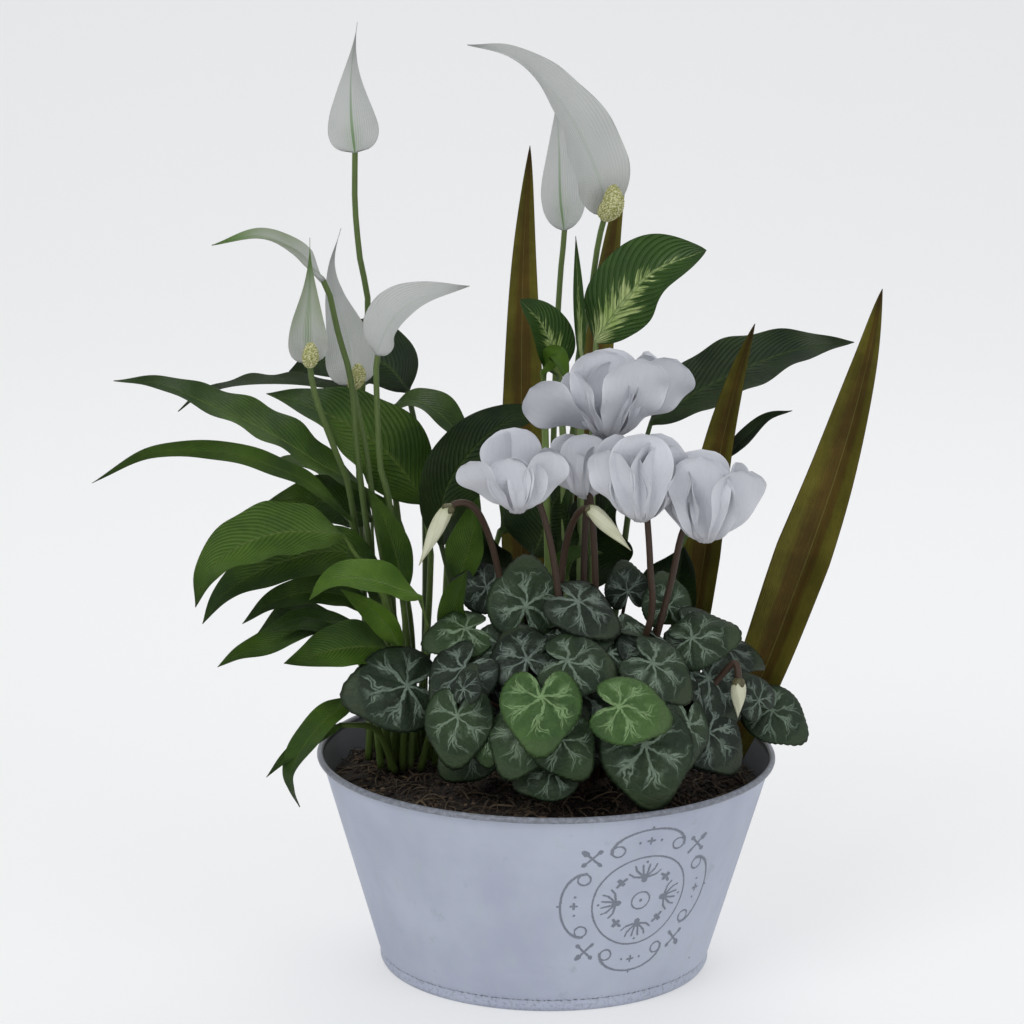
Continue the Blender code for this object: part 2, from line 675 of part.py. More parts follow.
def cyclamen_leaf(name, joint, tip, width, face):
    """A heart-shaped blade with its stalk, which leaves the tuber's crown and bows up to the blade."""
    sides = LEAF_SIDES
    joint, tip = layout((joint, tip))
    along = (tip - joint).normalized()
    side = along.cross(Vector(face)).normalized()
    out = side.cross(along)
    half = width * MM / 2
    builder = bmesh.new()

    def place(angle, share, lift):
        reach = half * heart_outline(angle) * share
        droop = 0.22 * reach * reach / half
        spot = joint + along * (reach * math.cos(angle)) + side * (reach * math.sin(angle))
        return builder.verts.new(planted(spot + out * (lift - droop)))

    angles = [2 * math.pi * step / sides - math.pi for step in range(sides)]
    crown = builder.verts.new(planted(joint + out * LEAF_THICKNESS / 2))
    upper = [place(angle, LEAF_EDGE, LEAF_THICKNESS / 2) for angle in angles]
    rim = [place(angle, 1.0, 0) for angle in angles]
    under = [place(angle, LEAF_EDGE, -LEAF_THICKNESS / 2) for angle in angles]

    middle = Vector((*TUBER_PLACE, 0)) * MM
    outward = joint - middle
    height = outward.z
    outward.z = 0
    low = 1 - height / (height + outward.length)
    foot = middle + outward.normalized() * (6.5 + 11 * low) * MM + UP * TUBER_PROUD
    reach = (joint - foot).length
    arrive = joint - (out * 0.8 + along * 0.2).normalized() * reach * 0.35
    rise = foot + (UP * 0.8 + outward.normalized() * 0.4 * low) * reach * 0.4
    path = []
    for step in range(STALK_RINGS):
        t = 1 - step / (STALK_RINGS - 1)
        near = foot * (1 - t) ** 3 + rise * (3 * t * (1 - t) ** 2)
        path.append(near + arrive * (3 * t * t * (1 - t)) + joint * t**3)
    path[0] = joint - out * LEAF_THICKNESS
    rings = []
    for index, spot in enumerate(path):
        ahead = (path[max(index - 1, 0)] - path[min(index + 1, STALK_RINGS - 1)]).normalized()
        across = (out if index == 0 else ahead).cross(side).normalized()
        beside = across.cross(out if index == 0 else ahead).normalized()
        ring = []
        for corner in range(STALK_SIDES):
            turn = 2 * math.pi * corner / STALK_SIDES
            offset = beside * -math.sin(turn) - across * math.cos(turn)
            ring.append(builder.verts.new(planted(spot + offset * CYCLAMEN_STALK)))
        rings.append(ring)

    for step in range(sides):
        after = (step + 1) % sides
        builder.faces.new((crown, upper[step], upper[after]))
        builder.faces.new((upper[step], rim[step], rim[after], upper[after]))
        builder.faces.new((rim[step], under[step], under[after], rim[after]))
        corner = step * STALK_SIDES // sides
        following = (corner + 1) % STALK_SIDES
        builder.faces.new((under[after], under[step], rings[0][corner]))
        if after * STALK_SIDES % sides == 0:
            builder.faces.new((under[after], rings[0][corner], rings[0][following]))
    for above, below in zip(rings, rings[1:]):
        for corner in range(STALK_SIDES):
            after = (corner + 1) % STALK_SIDES
            builder.faces.new((above[corner], above[after], below[after], below[corner]))
    builder.faces.new(rings[-1])
    return add_object(name, builder, "cyclamen_leaf")


def compass_vector(degrees):
    """Level direction at a compass angle counted from +X towards +Y."""
    angle = math.radians(degrees)
    return Vector((math.cos(angle), math.sin(angle), 0))


def cyclamen_flower(name, stem, nose, petals):
    """Five petals swept up from a hanging nose, joined with the nose and its hooked stem."""
    path = smooth_path(layout(stem), 8)
    body = round_stem(name, "petal", path, [CYCLAMEN_STEM] * len(path))
    nose = Vector(nose) * MM
    bulb = [nose + UP * level * MM for level in (11, 7, 1, -2)]
    parts = [round_stem("nose", "petal", bulb, [radius * MM for radius in (1.5, 5, 6, 3)])]
    for compass, lean, length, facing in petals:
        away = compass_vector(compass)
        tilt = math.radians(lean)
        rise = UP * math.cos(tilt) + away * math.sin(tilt)
        start = nose + away * 3 * MM
        bend = nose + away * 8 * MM + UP * 5 * MM
        end = bend + rise * (length - 8) * MM
        middle = bend.lerp(end, 0.5) + away * 2 * MM
        blade = [spot / MM for spot in (start, bend, middle, end)]
        faces = (away - UP * 0.4, compass_vector(facing))
        width = length * PETAL_BREADTH
        parts.append(
            stalked_blade("petal", "petal", None, blade, width, spoon, faces, 2 * MM, 0.12, 5)
        )
    unite(body, parts)


def cyclamen_bud(name, route):
    """A hooked stem that ends in a pointed bud."""
    path = smooth_path(layout(route), 13)
    radii = [CYCLAMEN_STEM] * 9 + [0.0026, 0.0042, 0.0030, 0.0005]
    round_stem(name, "petal", path, radii)


def lily_flower(name, stem, spathe, width, faces, spadix):
    """A stem that opens into one hooded spathe, with the club-shaped spadix where it shows."""
    body = stalked_blade(name, "petal", stem, spathe, width, hooded, faces, 0.0016, 0.45)
    if spadix:
        path = smooth_path(layout(spadix), 5)
        radii = [0.0014, 0.0030, 0.0044, 0.0042, 0.0016]
        unite(body, [round_stem("spadix", "petal", path, radii)])


def build_plants():
    tuber_solid("cyclamen_tuber", 0)
    for name, row in LILY_LEAVES.items():
        stalk, blade, width, faces = row
        stalked_blade(name, "lily_leaf", stalk, blade, width, lance, faces)
    for name, row in STREAKED_LEAVES.items():
        stalk, blade, width, faces = row
        stalked_blade(name, "streaked_leaf", stalk, blade, width, oval, faces)
    for name, (blade, width) in SWORD_LEAVES.items():
        stalked_blade(name, "sword_leaf", None, blade, width, sword, SWORD_FACES[name], 0.0008, 0.5)
    for name, row in LILY_FLOWERS.items():
        lily_flower(name, *row)
    for name, row in CYCLAMEN_LEAVES.items():
        cyclamen_leaf(name, *row)
    for name, row in CYCLAMEN_FLOWERS.items():
        cyclamen_flower(name, *row)
    for name, route in CYCLAMEN_BUDS.items():
        cyclamen_bud(name, route)


clear_scene()
build_bowl()
build_soil()
build_plants()
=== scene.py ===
"""House plants in a round whitewashed zinc bowl: cyclamen, peace lilies, a streaked
dieffenbachia and a sword-leaved flax in peaty soil."""

import math
import random

import bmesh
import bpy
from mathutils import Matrix, Vector, noise


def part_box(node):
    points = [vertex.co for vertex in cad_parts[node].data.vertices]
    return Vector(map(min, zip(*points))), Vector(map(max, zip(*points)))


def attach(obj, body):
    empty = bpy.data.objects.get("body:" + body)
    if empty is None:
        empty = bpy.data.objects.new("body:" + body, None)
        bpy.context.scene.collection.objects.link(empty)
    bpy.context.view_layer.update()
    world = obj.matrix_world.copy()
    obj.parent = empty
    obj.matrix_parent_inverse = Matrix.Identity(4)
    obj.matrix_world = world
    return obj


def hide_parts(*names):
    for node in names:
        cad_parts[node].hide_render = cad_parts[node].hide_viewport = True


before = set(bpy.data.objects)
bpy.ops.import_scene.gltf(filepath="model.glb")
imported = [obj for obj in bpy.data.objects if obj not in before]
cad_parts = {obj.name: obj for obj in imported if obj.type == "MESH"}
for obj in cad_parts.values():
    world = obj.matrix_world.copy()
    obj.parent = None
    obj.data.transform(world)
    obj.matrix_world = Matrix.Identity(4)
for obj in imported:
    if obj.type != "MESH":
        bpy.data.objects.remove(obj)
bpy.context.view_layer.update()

# Bowl wall. Sheet zinc with a whitewash coat: an upright foot, a cone and a rim
# rolled over a wire into a bead. The whitewash has worn off the bead and the foot's
# seam, and a scroll medallion is pressed into the wall to the right of the front.
BOWL_SIDES = 160
MEDALLION_TURN = math.radians(28.0)
MEDALLION_HEIGHT = 0.066
ARC_MM = 110  # millimetres around the wall to a radian, at the medallion
SLANT_MM = 1040  # millimetres up the slanting wall to a metre of height
BARE_ZINC = (0.085, 0.09, 0.10)
GROOVE_GREY = (0.17, 0.19, 0.23)


class Value:
    """A node's output in a Python expression."""

    def __init__(self, tree, socket):
        self.tree = tree
        self.socket = socket

    def math(self, operation, *others):
        return self.tree.node("ShaderNodeMath", {"operation": operation}, dict(enumerate((self, *others))))

    def __add__(self, other):
        return self.math("ADD", other)

    def __sub__(self, other):
        return self.math("SUBTRACT", other)

    def __mul__(self, other):
        return self.math("MULTIPLY", other)

    def __truediv__(self, other):
        return self.math("DIVIDE", other)

    def __pow__(self, other):
        return self.math("POWER", other)

    def __rsub__(self, other):
        return self * -1 + other

    def __neg__(self):
        return self * -1

    def __abs__(self):
        return self.math("ABSOLUTE")

    __radd__ = __add__
    __rmul__ = __mul__

    def clamped(self):
        return self.math("MAXIMUM", 0.0).math("MINIMUM", 1.0)

    def between(self, low, high):
        """0 below low, 1 above high and a soft step from one to the other."""
        return self.tree.node(
            "ShaderNodeMapRange",
            {"interpolation_type": "SMOOTHSTEP"},
            {"Value": self, "From Min": low, "From Max": high},
        )


class Tree:
    """A node tree that takes nodes as calls."""

    def __init__(self, tree):
        self.tree = tree

    def node(self, kind, settings=None, values=None, output=0):
        made = self.tree.nodes.new(kind)
        for key, value in (settings or {}).items():
            setattr(made, key, value)
        for key, value in (values or {}).items():
            if isinstance(value, Value):
                self.tree.links.new(value.socket, made.inputs[key])
            else:
                made.inputs[key].default_value = value
        return Value(self, made.outputs[output])


class Finish(Tree):
    """A material's nodes, with the places that its patterns follow."""

    def __init__(self, name):
        self.material = bpy.data.materials.new(name)
        self.material.use_nodes = True
        super().__init__(self.material.node_tree)
        self.shader = self.tree.nodes["Principled BSDF"]

    def parts(self, vector):
        return [self.node("ShaderNodeSeparateXYZ", None, {0: vector}, axis) for axis in range(3)]

    def place(self):
        return self.node("ShaderNodeTexCoord", output=3)

    def map_place(self):
        return self.node("ShaderNodeTexCoord", output=2)

    def attribute(self, name):
        return self.node("ShaderNodeAttribute", {"attribute_name": name}, output=2)

    def vector(self, x, y, z=0.0):
        return self.node("ShaderNodeCombineXYZ", None, {0: x, 1: y, 2: z})

    def noise(self, vector, scale, detail=2.0, rough=0.5):
        values = {"Vector": vector, "Scale": scale, "Detail": detail, "Roughness": rough}
        return self.node("ShaderNodeTexNoise", None, values)

    def mix(self, factor, first, second):
        def four(colour):
            return colour if isinstance(colour, Value) else (*colour, 1.0)

        values = {0: factor, 6: four(first), 7: four(second)}
        return self.node("ShaderNodeMix", {"data_type": "RGBA"}, values, 2)

    def finish(self, colour, roughness, height=None, lift=0.0005, **constants):
        """Sets the surface; height is in shares of lift, which is in metres."""
        for key, value in (("Base Color", colour), ("Roughness", roughness)):
            if isinstance(value, Value):
                self.tree.links.new(value.socket, self.shader.inputs[key])
            else:
                self.shader.inputs[key].default_value = value
        if height:
            values = {"Height": height, "Distance": lift, "Strength": 1.0}
            bump = self.node("ShaderNodeBump", None, values)
            self.tree.links.new(bump.socket, self.shader.inputs["Normal"])
        for key, value in constants.items():
            self.shader.inputs[key.replace("_", " ")].default_value = value
        return self.material


def add_piece(name, points, faces, material, stands_for=(), places=None, sides=None):
    """A smooth closed mesh that rides on the bowl; places become its UV map, sides its underside mask."""
    mesh = bpy.data.meshes.new(name)
    mesh.from_pydata(points, [], faces)
    if places:
        layer = mesh.uv_layers.new(name="UVMap")
        for loop in mesh.loops:
            layer.data[loop.index].uv = places[loop.vertex_index]
    if sides:
        mask = mesh.attributes.new("underside", "FLOAT", "POINT")
        mask.data.foreach_set("value", sides)
    builder = bmesh.new()
    builder.from_mesh(mesh)
    bmesh.ops.recalc_face_normals(builder, faces=builder.faces)
    builder.to_mesh(mesh)
    builder.free()
    mesh.shade_smooth()
    mesh.materials.append(material)
    made = bpy.data.objects.new(name, mesh)
    bpy.context.scene.collection.objects.link(made)
    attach(made, "root")
    if stands_for:
        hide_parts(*stands_for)
    return made


def turned(name, outline, material, node, sides=BOWL_SIDES):
    """A closed body turned about Z from (radius, height) pairs that go once around it."""
    points = []
    faces = []
    for step in range(sides):
        angle = 2 * math.pi * step / sides
        for radius, height in outline:
            points.append((radius * math.cos(angle), radius * math.sin(angle), height))
    count = len(outline)
    for step in range(sides):
        here = step * count
        there = (step + 1) % sides * count
        for index in range(count):
            after = (index + 1) % count
            faces.append((here + index, there + index, there + after, here + after))
    return add_piece(name, points, faces, material, (node,))


def whitewashed_zinc():
    """Chalky whitewash with clouds, scuffs, specks and grooves, and bare zinc where it has worn."""
    zinc = Finish("whitewashed_zinc")
    place = zinc.place()
    x, y, z = zinc.parts(place)
    turn = x.math("ARCTAN2", -y)
    across = abs((turn - MEDALLION_TURN) * ARC_MM)
    upright = abs((z - MEDALLION_HEIGHT) * SLANT_MM)
    far = across.math("MAXIMUM", upright)
    near = across.math("MINIMUM", upright)
    reach = (far * far + near * near) ** 0.5

    def stroke(start, end, thick):
        """Depth into a short groove between two points of one eighth of the medallion."""
        run = (end[0] - start[0], end[1] - start[1])
        square = run[0] ** 2 + run[1] ** 2
        share = (((far - start[0]) * run[0] + (near - start[1]) * run[1]) / square).clamped()
        beside = far - start[0] - share * run[0]
        above = near - start[1] - share * run[1]
        return thick - (beside * beside + above * above) ** 0.5

    def ring(middle, radii, thick):
        """Depth into a round or oval groove."""
        wide = (far - middle[0]) / radii[0]
        high = (near - middle[1]) / radii[1]
        return thick - abs((wide * wide + high * high) ** 0.5 - 1) * min(radii)

    strokes = [
        ((13.4, 0.0), (15.4, 0.0), 1.7),
        ((16.6, 1.0), (22.6, 2.0), 0.5),
        ((16.0, 1.6), (19.6, 5.2), 0.55),
        ((19.6, 5.2), (22.4, 6.2), 0.45),
        ((15.0, 2.0), (15.8, 6.4), 0.55),
        ((15.8, 6.4), (18.0, 9.0), 0.45),
        ((24.6, 0.0), (24.8, 0.0), 0.6),
        ((12.0, 11.6), (14.8, 14.2), 0.75),
        ((14.2, 11.6), (15.0, 10.6), 0.8),
        ((36.2, 0.0), (39.8, 0.0), 0.5),
        ((38.0, 0.0), (38.0, 1.7), 0.6),
        ((37.4, 6.0), (37.6, 6.0), 0.6),
        ((45.2, 0.0), (46.8, 0.0), 0.5),
        ((27.0, 27.0), (33.5, 33.5), 0.6),
        ((33.4, 33.0), (34.4, 34.4), 1.3),
        ((25.6, 25.6), (26.6, 26.6), 0.9),
        ((30.2, 30.2), (33.8, 26.6), 0.55),
        ((34.0, 26.4), (34.3, 26.1), 1.2),
    ]
    depth = stroke((0.0, 0.0), (0.1, 0.0), 0.8)
    for start, end, thick in strokes:
        depth = depth.math("MAXIMUM", stroke(start, end, thick))
    depth = depth.math("MAXIMUM", 0.42 - abs(reach - 28))
    depth = depth.math("MAXIMUM", 0.4 - abs(reach - 5.4))
    scroll = ring((33, 0), (12.4, 20.5), 0.5)
    scroll = scroll.math("MINIMUM", (far - 31.6) * 4)
    curl = ring((33.4, 16.9), (3.4, 3.4), 0.45).math("MINIMUM", (37 - far) * 4)
    depth = depth.math("MAXIMUM", scroll).math("MAXIMUM", curl)
    wobble = zinc.noise(place, 900, 3) - 0.5
    groove = (depth + wobble * 0.9).between(-0.25, 0.3)
    facing_out = (x * x + y * y).between(0.0075, 0.0079)
    groove = groove * facing_out * (reach.between(66, 60))

    clouds = zinc.noise(place, 14, 4, 0.6)
    smears = zinc.noise(zinc.vector(turn * 2.2, z * 9, 0.0), 6, 5, 0.62)
    grain = zinc.noise(zinc.vector(turn * 30, z * 260, 0.0), 4, 3, 0.6)
    colour = zinc.mix(clouds.between(0.3, 0.7), (0.375, 0.405, 0.50), (0.45, 0.485, 0.575))
    colour = zinc.mix(smears.between(0.52, 0.72) * 0.5, colour, (0.42, 0.46, 0.50))
    colour = zinc.mix(grain.between(0.55, 0.8) * 0.22, colour, (0.55, 0.57, 0.64))
    dust = zinc.noise(place, 38, 4, 0.7)
    colour = zinc.mix(dust.between(0.62, 0.72) * 0.55, colour, (0.33, 0.36, 0.42))
    cells = zinc.node("ShaderNodeTexVoronoi", None, {"Vector": place, "Scale": 62.0})
    chosen = zinc.noise(place, 17, 1).between(0.60, 0.62)
    specks = cells.between(0.055, 0.03) * chosen
    worn_rim = (z + (dust - 0.5) * 0.002).between(0.1174, 0.1184)
    slope = (rim_radius - bead - base_radius) / (bowl_height - foot)
    mid_sheet = (z - foot) * slope + (base_radius - sheet / 2)
    radius = (x * x + y * y) ** 0.5
    inside = (mid_sheet - radius).between(0.0, 0.0003) * z.between(0.02, 0.03)
    patches = zinc.noise(zinc.vector(turn * 9, z * 90, 0.0), 5, 4, 0.7)
    foot_wear = z.between(0.0105, 0.0045) * patches.between(0.5, 0.62)
    seam = (0.0006 - abs(z - 0.0066)).between(0.0, 0.0005) * patches.between(0.46, 0.56)
    bare = (worn_rim * (patches.between(0.70, 0.40) * 0.35 + 0.6)).math("MAXIMUM", foot_wear * 0.4)
    colour = zinc.mix(groove * 0.92, colour, GROOVE_GREY)
    colour = zinc.mix((bare * 0.85 + inside * 0.6).clamped(), colour, BARE_ZINC)
    colour = zinc.mix(inside * 0.75, colour, (0.10, 0.105, 0.115))
    colour = zinc.mix(specks.math("MAXIMUM", seam * 0.8), colour, (0.06, 0.06, 0.07))
    height = clouds * 0.1 + grain * 0.12 - groove * 0.9 - specks * 0.4 - seam * 0.6
    roughness = 0.62 - bare * 0.22 + dust * 0.1
    return zinc.finish(colour, roughness, height, 0.0006, Metallic=0.12)


_, wall_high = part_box("bowl_wall")
_, base_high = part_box("bowl_base")
soil_low, soil_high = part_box("potting_soil")
rim_radius = wall_high.x
bowl_height = wall_high.z
sheet = base_high.z
seam_gap = 0.0003
base_radius = base_high.x + sheet + seam_gap
bead = 0.0018
foot = 0.006
toe = 0.003


def wall_radius(height):
    share = max(height - foot, 0) / (bowl_height - foot)
    return base_radius + (rim_radius - bead - base_radius) * share


def bowl_outline():
    """The sheet's outline from the foot up, over the bead and down the inside."""
    outline = []
    for step in range(7):
        angle = math.radians(90 * step / 6)
        outline.append((base_radius - toe * (1 - math.sin(angle)), toe * (1 - math.cos(angle))))
    outline.append((base_radius, foot - 0.0008))
    outline.append((base_radius - 0.0003, foot))
    outline.append((base_radius + 0.0002, foot + 0.0009))
    shoulder = bowl_height - 2.2 * bead
    for step in range(1, 26):
        level = foot + (shoulder - foot) * step / 25
        outline.append((wall_radius(level), level))
    for step in range(13):
        angle = math.radians(-50 + 260 * step / 12)
        across = rim_radius - bead + bead * math.cos(angle)
        outline.append((across, bowl_height - bead + bead * math.sin(angle)))
    for step in range(12, -1, -1):
        level = foot + (shoulder - foot) * step / 12
        outline.append((wall_radius(level) - sheet, level))
    outline.append((base_radius - sheet, 0.0032))
    outline.append((base_radius - 0.0032, 0.0006))
    return outline


zinc_finish = whitewashed_zinc()
turned("bowl_shell", bowl_outline(), zinc_finish, "bowl_wall")

# Bowl base. A disc of the same sheet let into the foot, pressed up into a shallow
# stiffening ring and crimped at its edge.


def base_outline():
    """The pressed disc in section, with a small hole in the middle closed by its rings."""
    reach = base_high.x - 0.0001
    under = ((1.0, 0.0), (0.92, 0.0), (0.88, 0.0006), (0.6, 0.0006), (0.56, 0.0), (0.002, 0.0))
    over = ((0.002, 0.001), (0.56, 0.001), (0.6, 0.0013), (0.88, 0.0013), (0.92, 0.001), (1.0, 0.001))
    return [(reach * share, rise) for share, rise in under + over]


turned("bowl_disc", base_outline(), zinc_finish, "bowl_base")

# Potting soil. Dark peat that fills the bowl to below the bead, crumbly on top and
# matted with brown roots, bark flakes and straw.
SOIL_DARK = (0.011, 0.008, 0.006)
SOIL_BROWN = (0.036, 0.025, 0.016)
SOIL_SINK = 0.0015
SOIL_CROWN = 0.004
SOIL_GAP = 0.0004
ROOT_COUNT = 950
random.seed(7)


def soil_height(x, y):
    """Height of the crumbly top at a place: crowned in the middle, lumpy, lower at the wall."""
    reach = math.hypot(x, y) / rim_radius
    lumps = noise.noise(Vector((x, y, 0.3)) * 45) * 0.0026
    crumbs = noise.noise(Vector((x, y, 0.9)) * 160) * 0.0013
    return soil_high.z - SOIL_SINK - SOIL_CROWN * max(reach - 0.4, 0) ** 2 * 4 + lumps + crumbs


def peat():
    soil = Finish("peat")
    place = soil.place()
    coarse = soil.noise(place, 120, 5, 0.65)
    fine = soil.noise(place, 520, 4, 0.7)
    colour = soil.mix(coarse.between(0.35, 0.7), SOIL_DARK, SOIL_BROWN)
    colour = soil.mix(fine.between(0.6, 0.75) * 0.6, colour, (0.13, 0.085, 0.05))
    return soil.finish(colour, 0.95, coarse * 0.6 + fine * 0.5, 0.003)


def make_soil():
    """A lumpy disc closed down the wall and across the bottom."""
    rings = 56
    sides = 180
    top_radius = wall_radius(soil_high.z - 0.006) - sheet - SOIL_GAP
    points = [(0.0, 0.0, soil_height(0, 0))]
    for ring in range(1, rings + 1):
        radius = top_radius * ring / rings
        for step in range(sides):
            angle = 2 * math.pi * step / sides
            x, y = radius * math.cos(angle), radius * math.sin(angle)
            points.append((x, y, soil_height(x, y)))
    for level in (foot, soil_low.z):
        for step in range(sides):
            angle = 2 * math.pi * step / sides
            radius = wall_radius(level) - sheet - SOIL_GAP
            points.append((radius * math.cos(angle), radius * math.sin(angle), level))
    points.append((0.0, 0.0, soil_low.z))
    faces = []
    for step in range(sides):
        after = (step + 1) % sides
        faces.append((0, 1 + step, 1 + after))
        for ring in range(rings + 1):
            first = 1 + ring * sides
            second = first + sides
            faces.append((first + step, second + step, second + after, first + after))
        last = 1 + (rings + 1) * sides
        faces.append((last + step, len(points) - 1, last + after))
    add_piece("soil_fill", points, faces, peat(), ("potting_soil",))


make_soil()


def begin_group(name, inputs, result):
    """A geometry node group with named inputs; returns its tree and a value for each input."""
    group = bpy.data.node_groups.new(name, "GeometryNodeTree")
    for label, kind in inputs:
        group.interface.new_socket(label, in_out="INPUT", socket_type="NodeSocket" + kind)
    group.interface.new_socket(result, in_out="OUTPUT", socket_type="NodeSocketGeometry")
    tree = Tree(group)
    entry = group.nodes.new("NodeGroupInput")
    return tree, [Value(tree, entry.outputs[index]) for index in range(len(inputs))]


def end_group(tree, shape, material):
    """Realizes the instances, sets their material and sends the shape out."""
    shape = tree.node("GeometryNodeRealizeInstances", None, {0: shape})
    shape = tree.node("GeometryNodeSetMaterial", None, {"Geometry": shape, "Material": material})
    leave = tree.tree.nodes.new("NodeGroupOutput")
    tree.tree.links.new(shape.socket, leave.inputs[0])
    return tree.tree


def tube_tree():
    """Geometry nodes that turn lines with a thickness attribute into capped round tubes."""
    inputs = [("Lines", "Geometry"), ("Sides", "Int"), ("Material", "Material")]
    tree, (lines, sides, material) = begin_group("round_tubes", inputs, "Tubes")
    curve = tree.node("GeometryNodeMeshToCurve", None, {0: lines})
    thickness = tree.node("GeometryNodeInputNamedAttribute", {"data_type": "FLOAT"}, {"Name": "thickness"})
    circle = tree.node("GeometryNodeCurvePrimitiveCircle", None, {"Resolution": sides, "Radius": 1.0})
    values = {"Curve": curve, "Profile Curve": circle, "Scale": thickness, "Fill Caps": True}
    return end_group(tree, tree.node("GeometryNodeCurveToMesh", None, values), material)


def grown(name, base_mesh, group, inputs, stands_for=()):
    """Runs a node group on a mesh and keeps the result as a plain mesh piece."""
    made = bpy.data.objects.new(name, base_mesh)
    bpy.context.scene.collection.objects.link(made)
    modifier = made.modifiers.new("grow", "NODES")
    modifier.node_group = group
    for item in group.interface.items_tree:
        if item.name in inputs:
            modifier[item.identifier] = inputs[item.name]
    bpy.context.view_layer.update()
    evaluated = made.evaluated_get(bpy.context.evaluated_depsgraph_get())
    plain = bpy.data.meshes.new_from_object(evaluated)
    made.modifiers.clear()
    made.data = plain
    plain.name = name
    plain.shade_smooth()
    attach(made, "root")
    if stands_for:
        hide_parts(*stands_for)
    return made


round_tubes = tube_tree()


def tubes(name, lines, sides, material, stands_for=(), tints=None):
    """One piece of round tubes from lists of (point, radius)."""
    points, edges, radii, shades = [], [], [], []
    for number, line in enumerate(lines):
        for index, (point, radius) in enumerate(line):
            if index:
                edges.append((len(points) - 1, len(points)))
            points.append(point)
            radii.append(radius)
            shades.append(tints[number] if tints else index / (len(line) - 1))
    mesh = bpy.data.meshes.new(name)
    mesh.from_pydata(points, edges, [])
    mesh.attributes.new("thickness", "FLOAT", "POINT").data.foreach_set("value", radii)
    mesh.attributes.new("tint", "FLOAT", "POINT").data.foreach_set("value", shades)
    inputs = {"Sides": sides, "Material": material}
    return grown(name, mesh, round_tubes, inputs, stands_for)


def root_finish():
    root = Finish("dry_roots")
    place = root.place()
    tint = root.attribute("tint")
    spots = root.noise(place, 700, 3, 0.6)
    colour = root.mix(tint, (0.022, 0.015, 0.010), (0.16, 0.115, 0.066))
    colour = root.mix(spots.between(0.45, 0.7) * 0.6, colour, (0.045, 0.030, 0.02))
    return root.finish(colour, 0.85, spots, 0.0006)


def root_line(straight):
    """A root or straw that wanders over the soil, dips in at its ends and rises in between."""
    reach = rim_radius * 0.93 * math.sqrt(random.random())
    turn = random.uniform(0, 2 * math.pi)
    spot = Vector((reach * math.cos(turn), reach * math.sin(turn), 0))
    heading = random.uniform(0, 2 * math.pi)
    bend = random.uniform(-0.5, 0.5)
    length = random.uniform(0.010, 0.032)
    steps = 9
    thick = random.uniform(0.00028, 0.0008)
    rise = random.uniform(0.001, 0.005)
    line = []
    for step in range(steps):
        share = step / (steps - 1)
        inside = min(1.0, rim_radius * 0.925 / max(spot.length, 0.001))
        x, y = spot.x * inside, spot.y * inside
        level = soil_height(x, y) + rise * math.sin(math.pi * share) - 0.0008
        level = min(level, bowl_height - 0.001)
        line.append(((x, y, level), thick * (1 - 0.5 * share)))
        heading += bend * straight + random.uniform(-0.5, 0.5) * straight
        spot += Vector((math.cos(heading), math.sin(heading), 0)) * (length / steps)
    return line


root_lines = [root_line(random.choice((0.25, 1.0, 1.3))) for _ in range(ROOT_COUNT)]
root_tints = [random.random() ** 1.8 for _ in root_lines]
tubes("soil_roots", root_lines, 5, root_finish(), (), root_tints)


def litter_tree():
    """Geometry nodes that strew bark flakes and peat crumbs over a surface."""
    inputs = [
        ("Surface", "Geometry"), ("Flakes", "Float"), ("Crumbs", "Float"),
        ("Flake size", "Float"), ("Material", "Material"),
    ]
    tree, (surface, flakes, crumbs, size, material) = begin_group("bark_and_crumbs", inputs, "Litter")
    flake_values = {"Vertices": 7, "Radius Top": 0.5, "Radius Bottom": 0.8, "Depth": 0.35}
    flake = tree.node("GeometryNodeMeshCone", None, flake_values)
    crumb = tree.node("GeometryNodeMeshIcoSphere", None, {"Radius": 0.55, "Subdivisions": 1})
    strewn = tree.node("GeometryNodeJoinGeometry")
    for density, shape, seed in ((flakes, flake, 3), (crumbs, crumb, 11)):
        values = {"Mesh": surface, "Density": density, "Seed": seed}
        spots = tree.node("GeometryNodeDistributePointsOnFaces", None, values)
        any_turn = {0: (-0.7, -0.7, 0.0), 1: (0.7, 0.7, 6.28), "Seed": seed}
        turn = tree.node("FunctionNodeRandomValue", {"data_type": "FLOAT_VECTOR"}, any_turn)
        any_scale = {0: (0.35, 0.25, 0.25), 1: (1.6, 0.8, 0.7), "Seed": seed + 1}
        scale = tree.node("FunctionNodeRandomValue", {"data_type": "FLOAT_VECTOR"}, any_scale)
        scale = tree.node("ShaderNodeVectorMath", {"operation": "SCALE"}, {0: scale, "Scale": size})
        values = {"Points": spots, "Instance": shape, "Rotation": turn, "Scale": scale}
        bits = tree.node("GeometryNodeInstanceOnPoints", None, values)
        shade = tree.node("FunctionNodeRandomValue", {"data_type": "FLOAT"}, {"Seed": seed + 2}, 1)
        settings = {"domain": "INSTANCE", "data_type": "FLOAT"}
        values = {"Geometry": bits, "Name": "tint", "Value": shade}
        bits = tree.node("GeometryNodeStoreNamedAttribute", settings, values)
        tree.tree.links.new(bits.socket, strewn.socket.node.inputs[0])
    return end_group(tree, strewn, material)


def bark_finish():
    bark = Finish("bark_and_peat")
    place = bark.place()
    tint = bark.attribute("tint")
    rough = bark.noise(place, 600, 4, 0.7)
    colour = bark.mix(tint.between(0.3, 1.0), (0.018, 0.011, 0.008), (0.085, 0.052, 0.032))
    colour = bark.mix(tint.between(0.93, 0.97) * 0.8, colour, (0.24, 0.16, 0.09))
    colour = bark.mix(rough.between(0.5, 0.8) * 0.5, colour, (0.03, 0.02, 0.014))
    return bark.finish(colour, 0.92, rough, 0.0008)


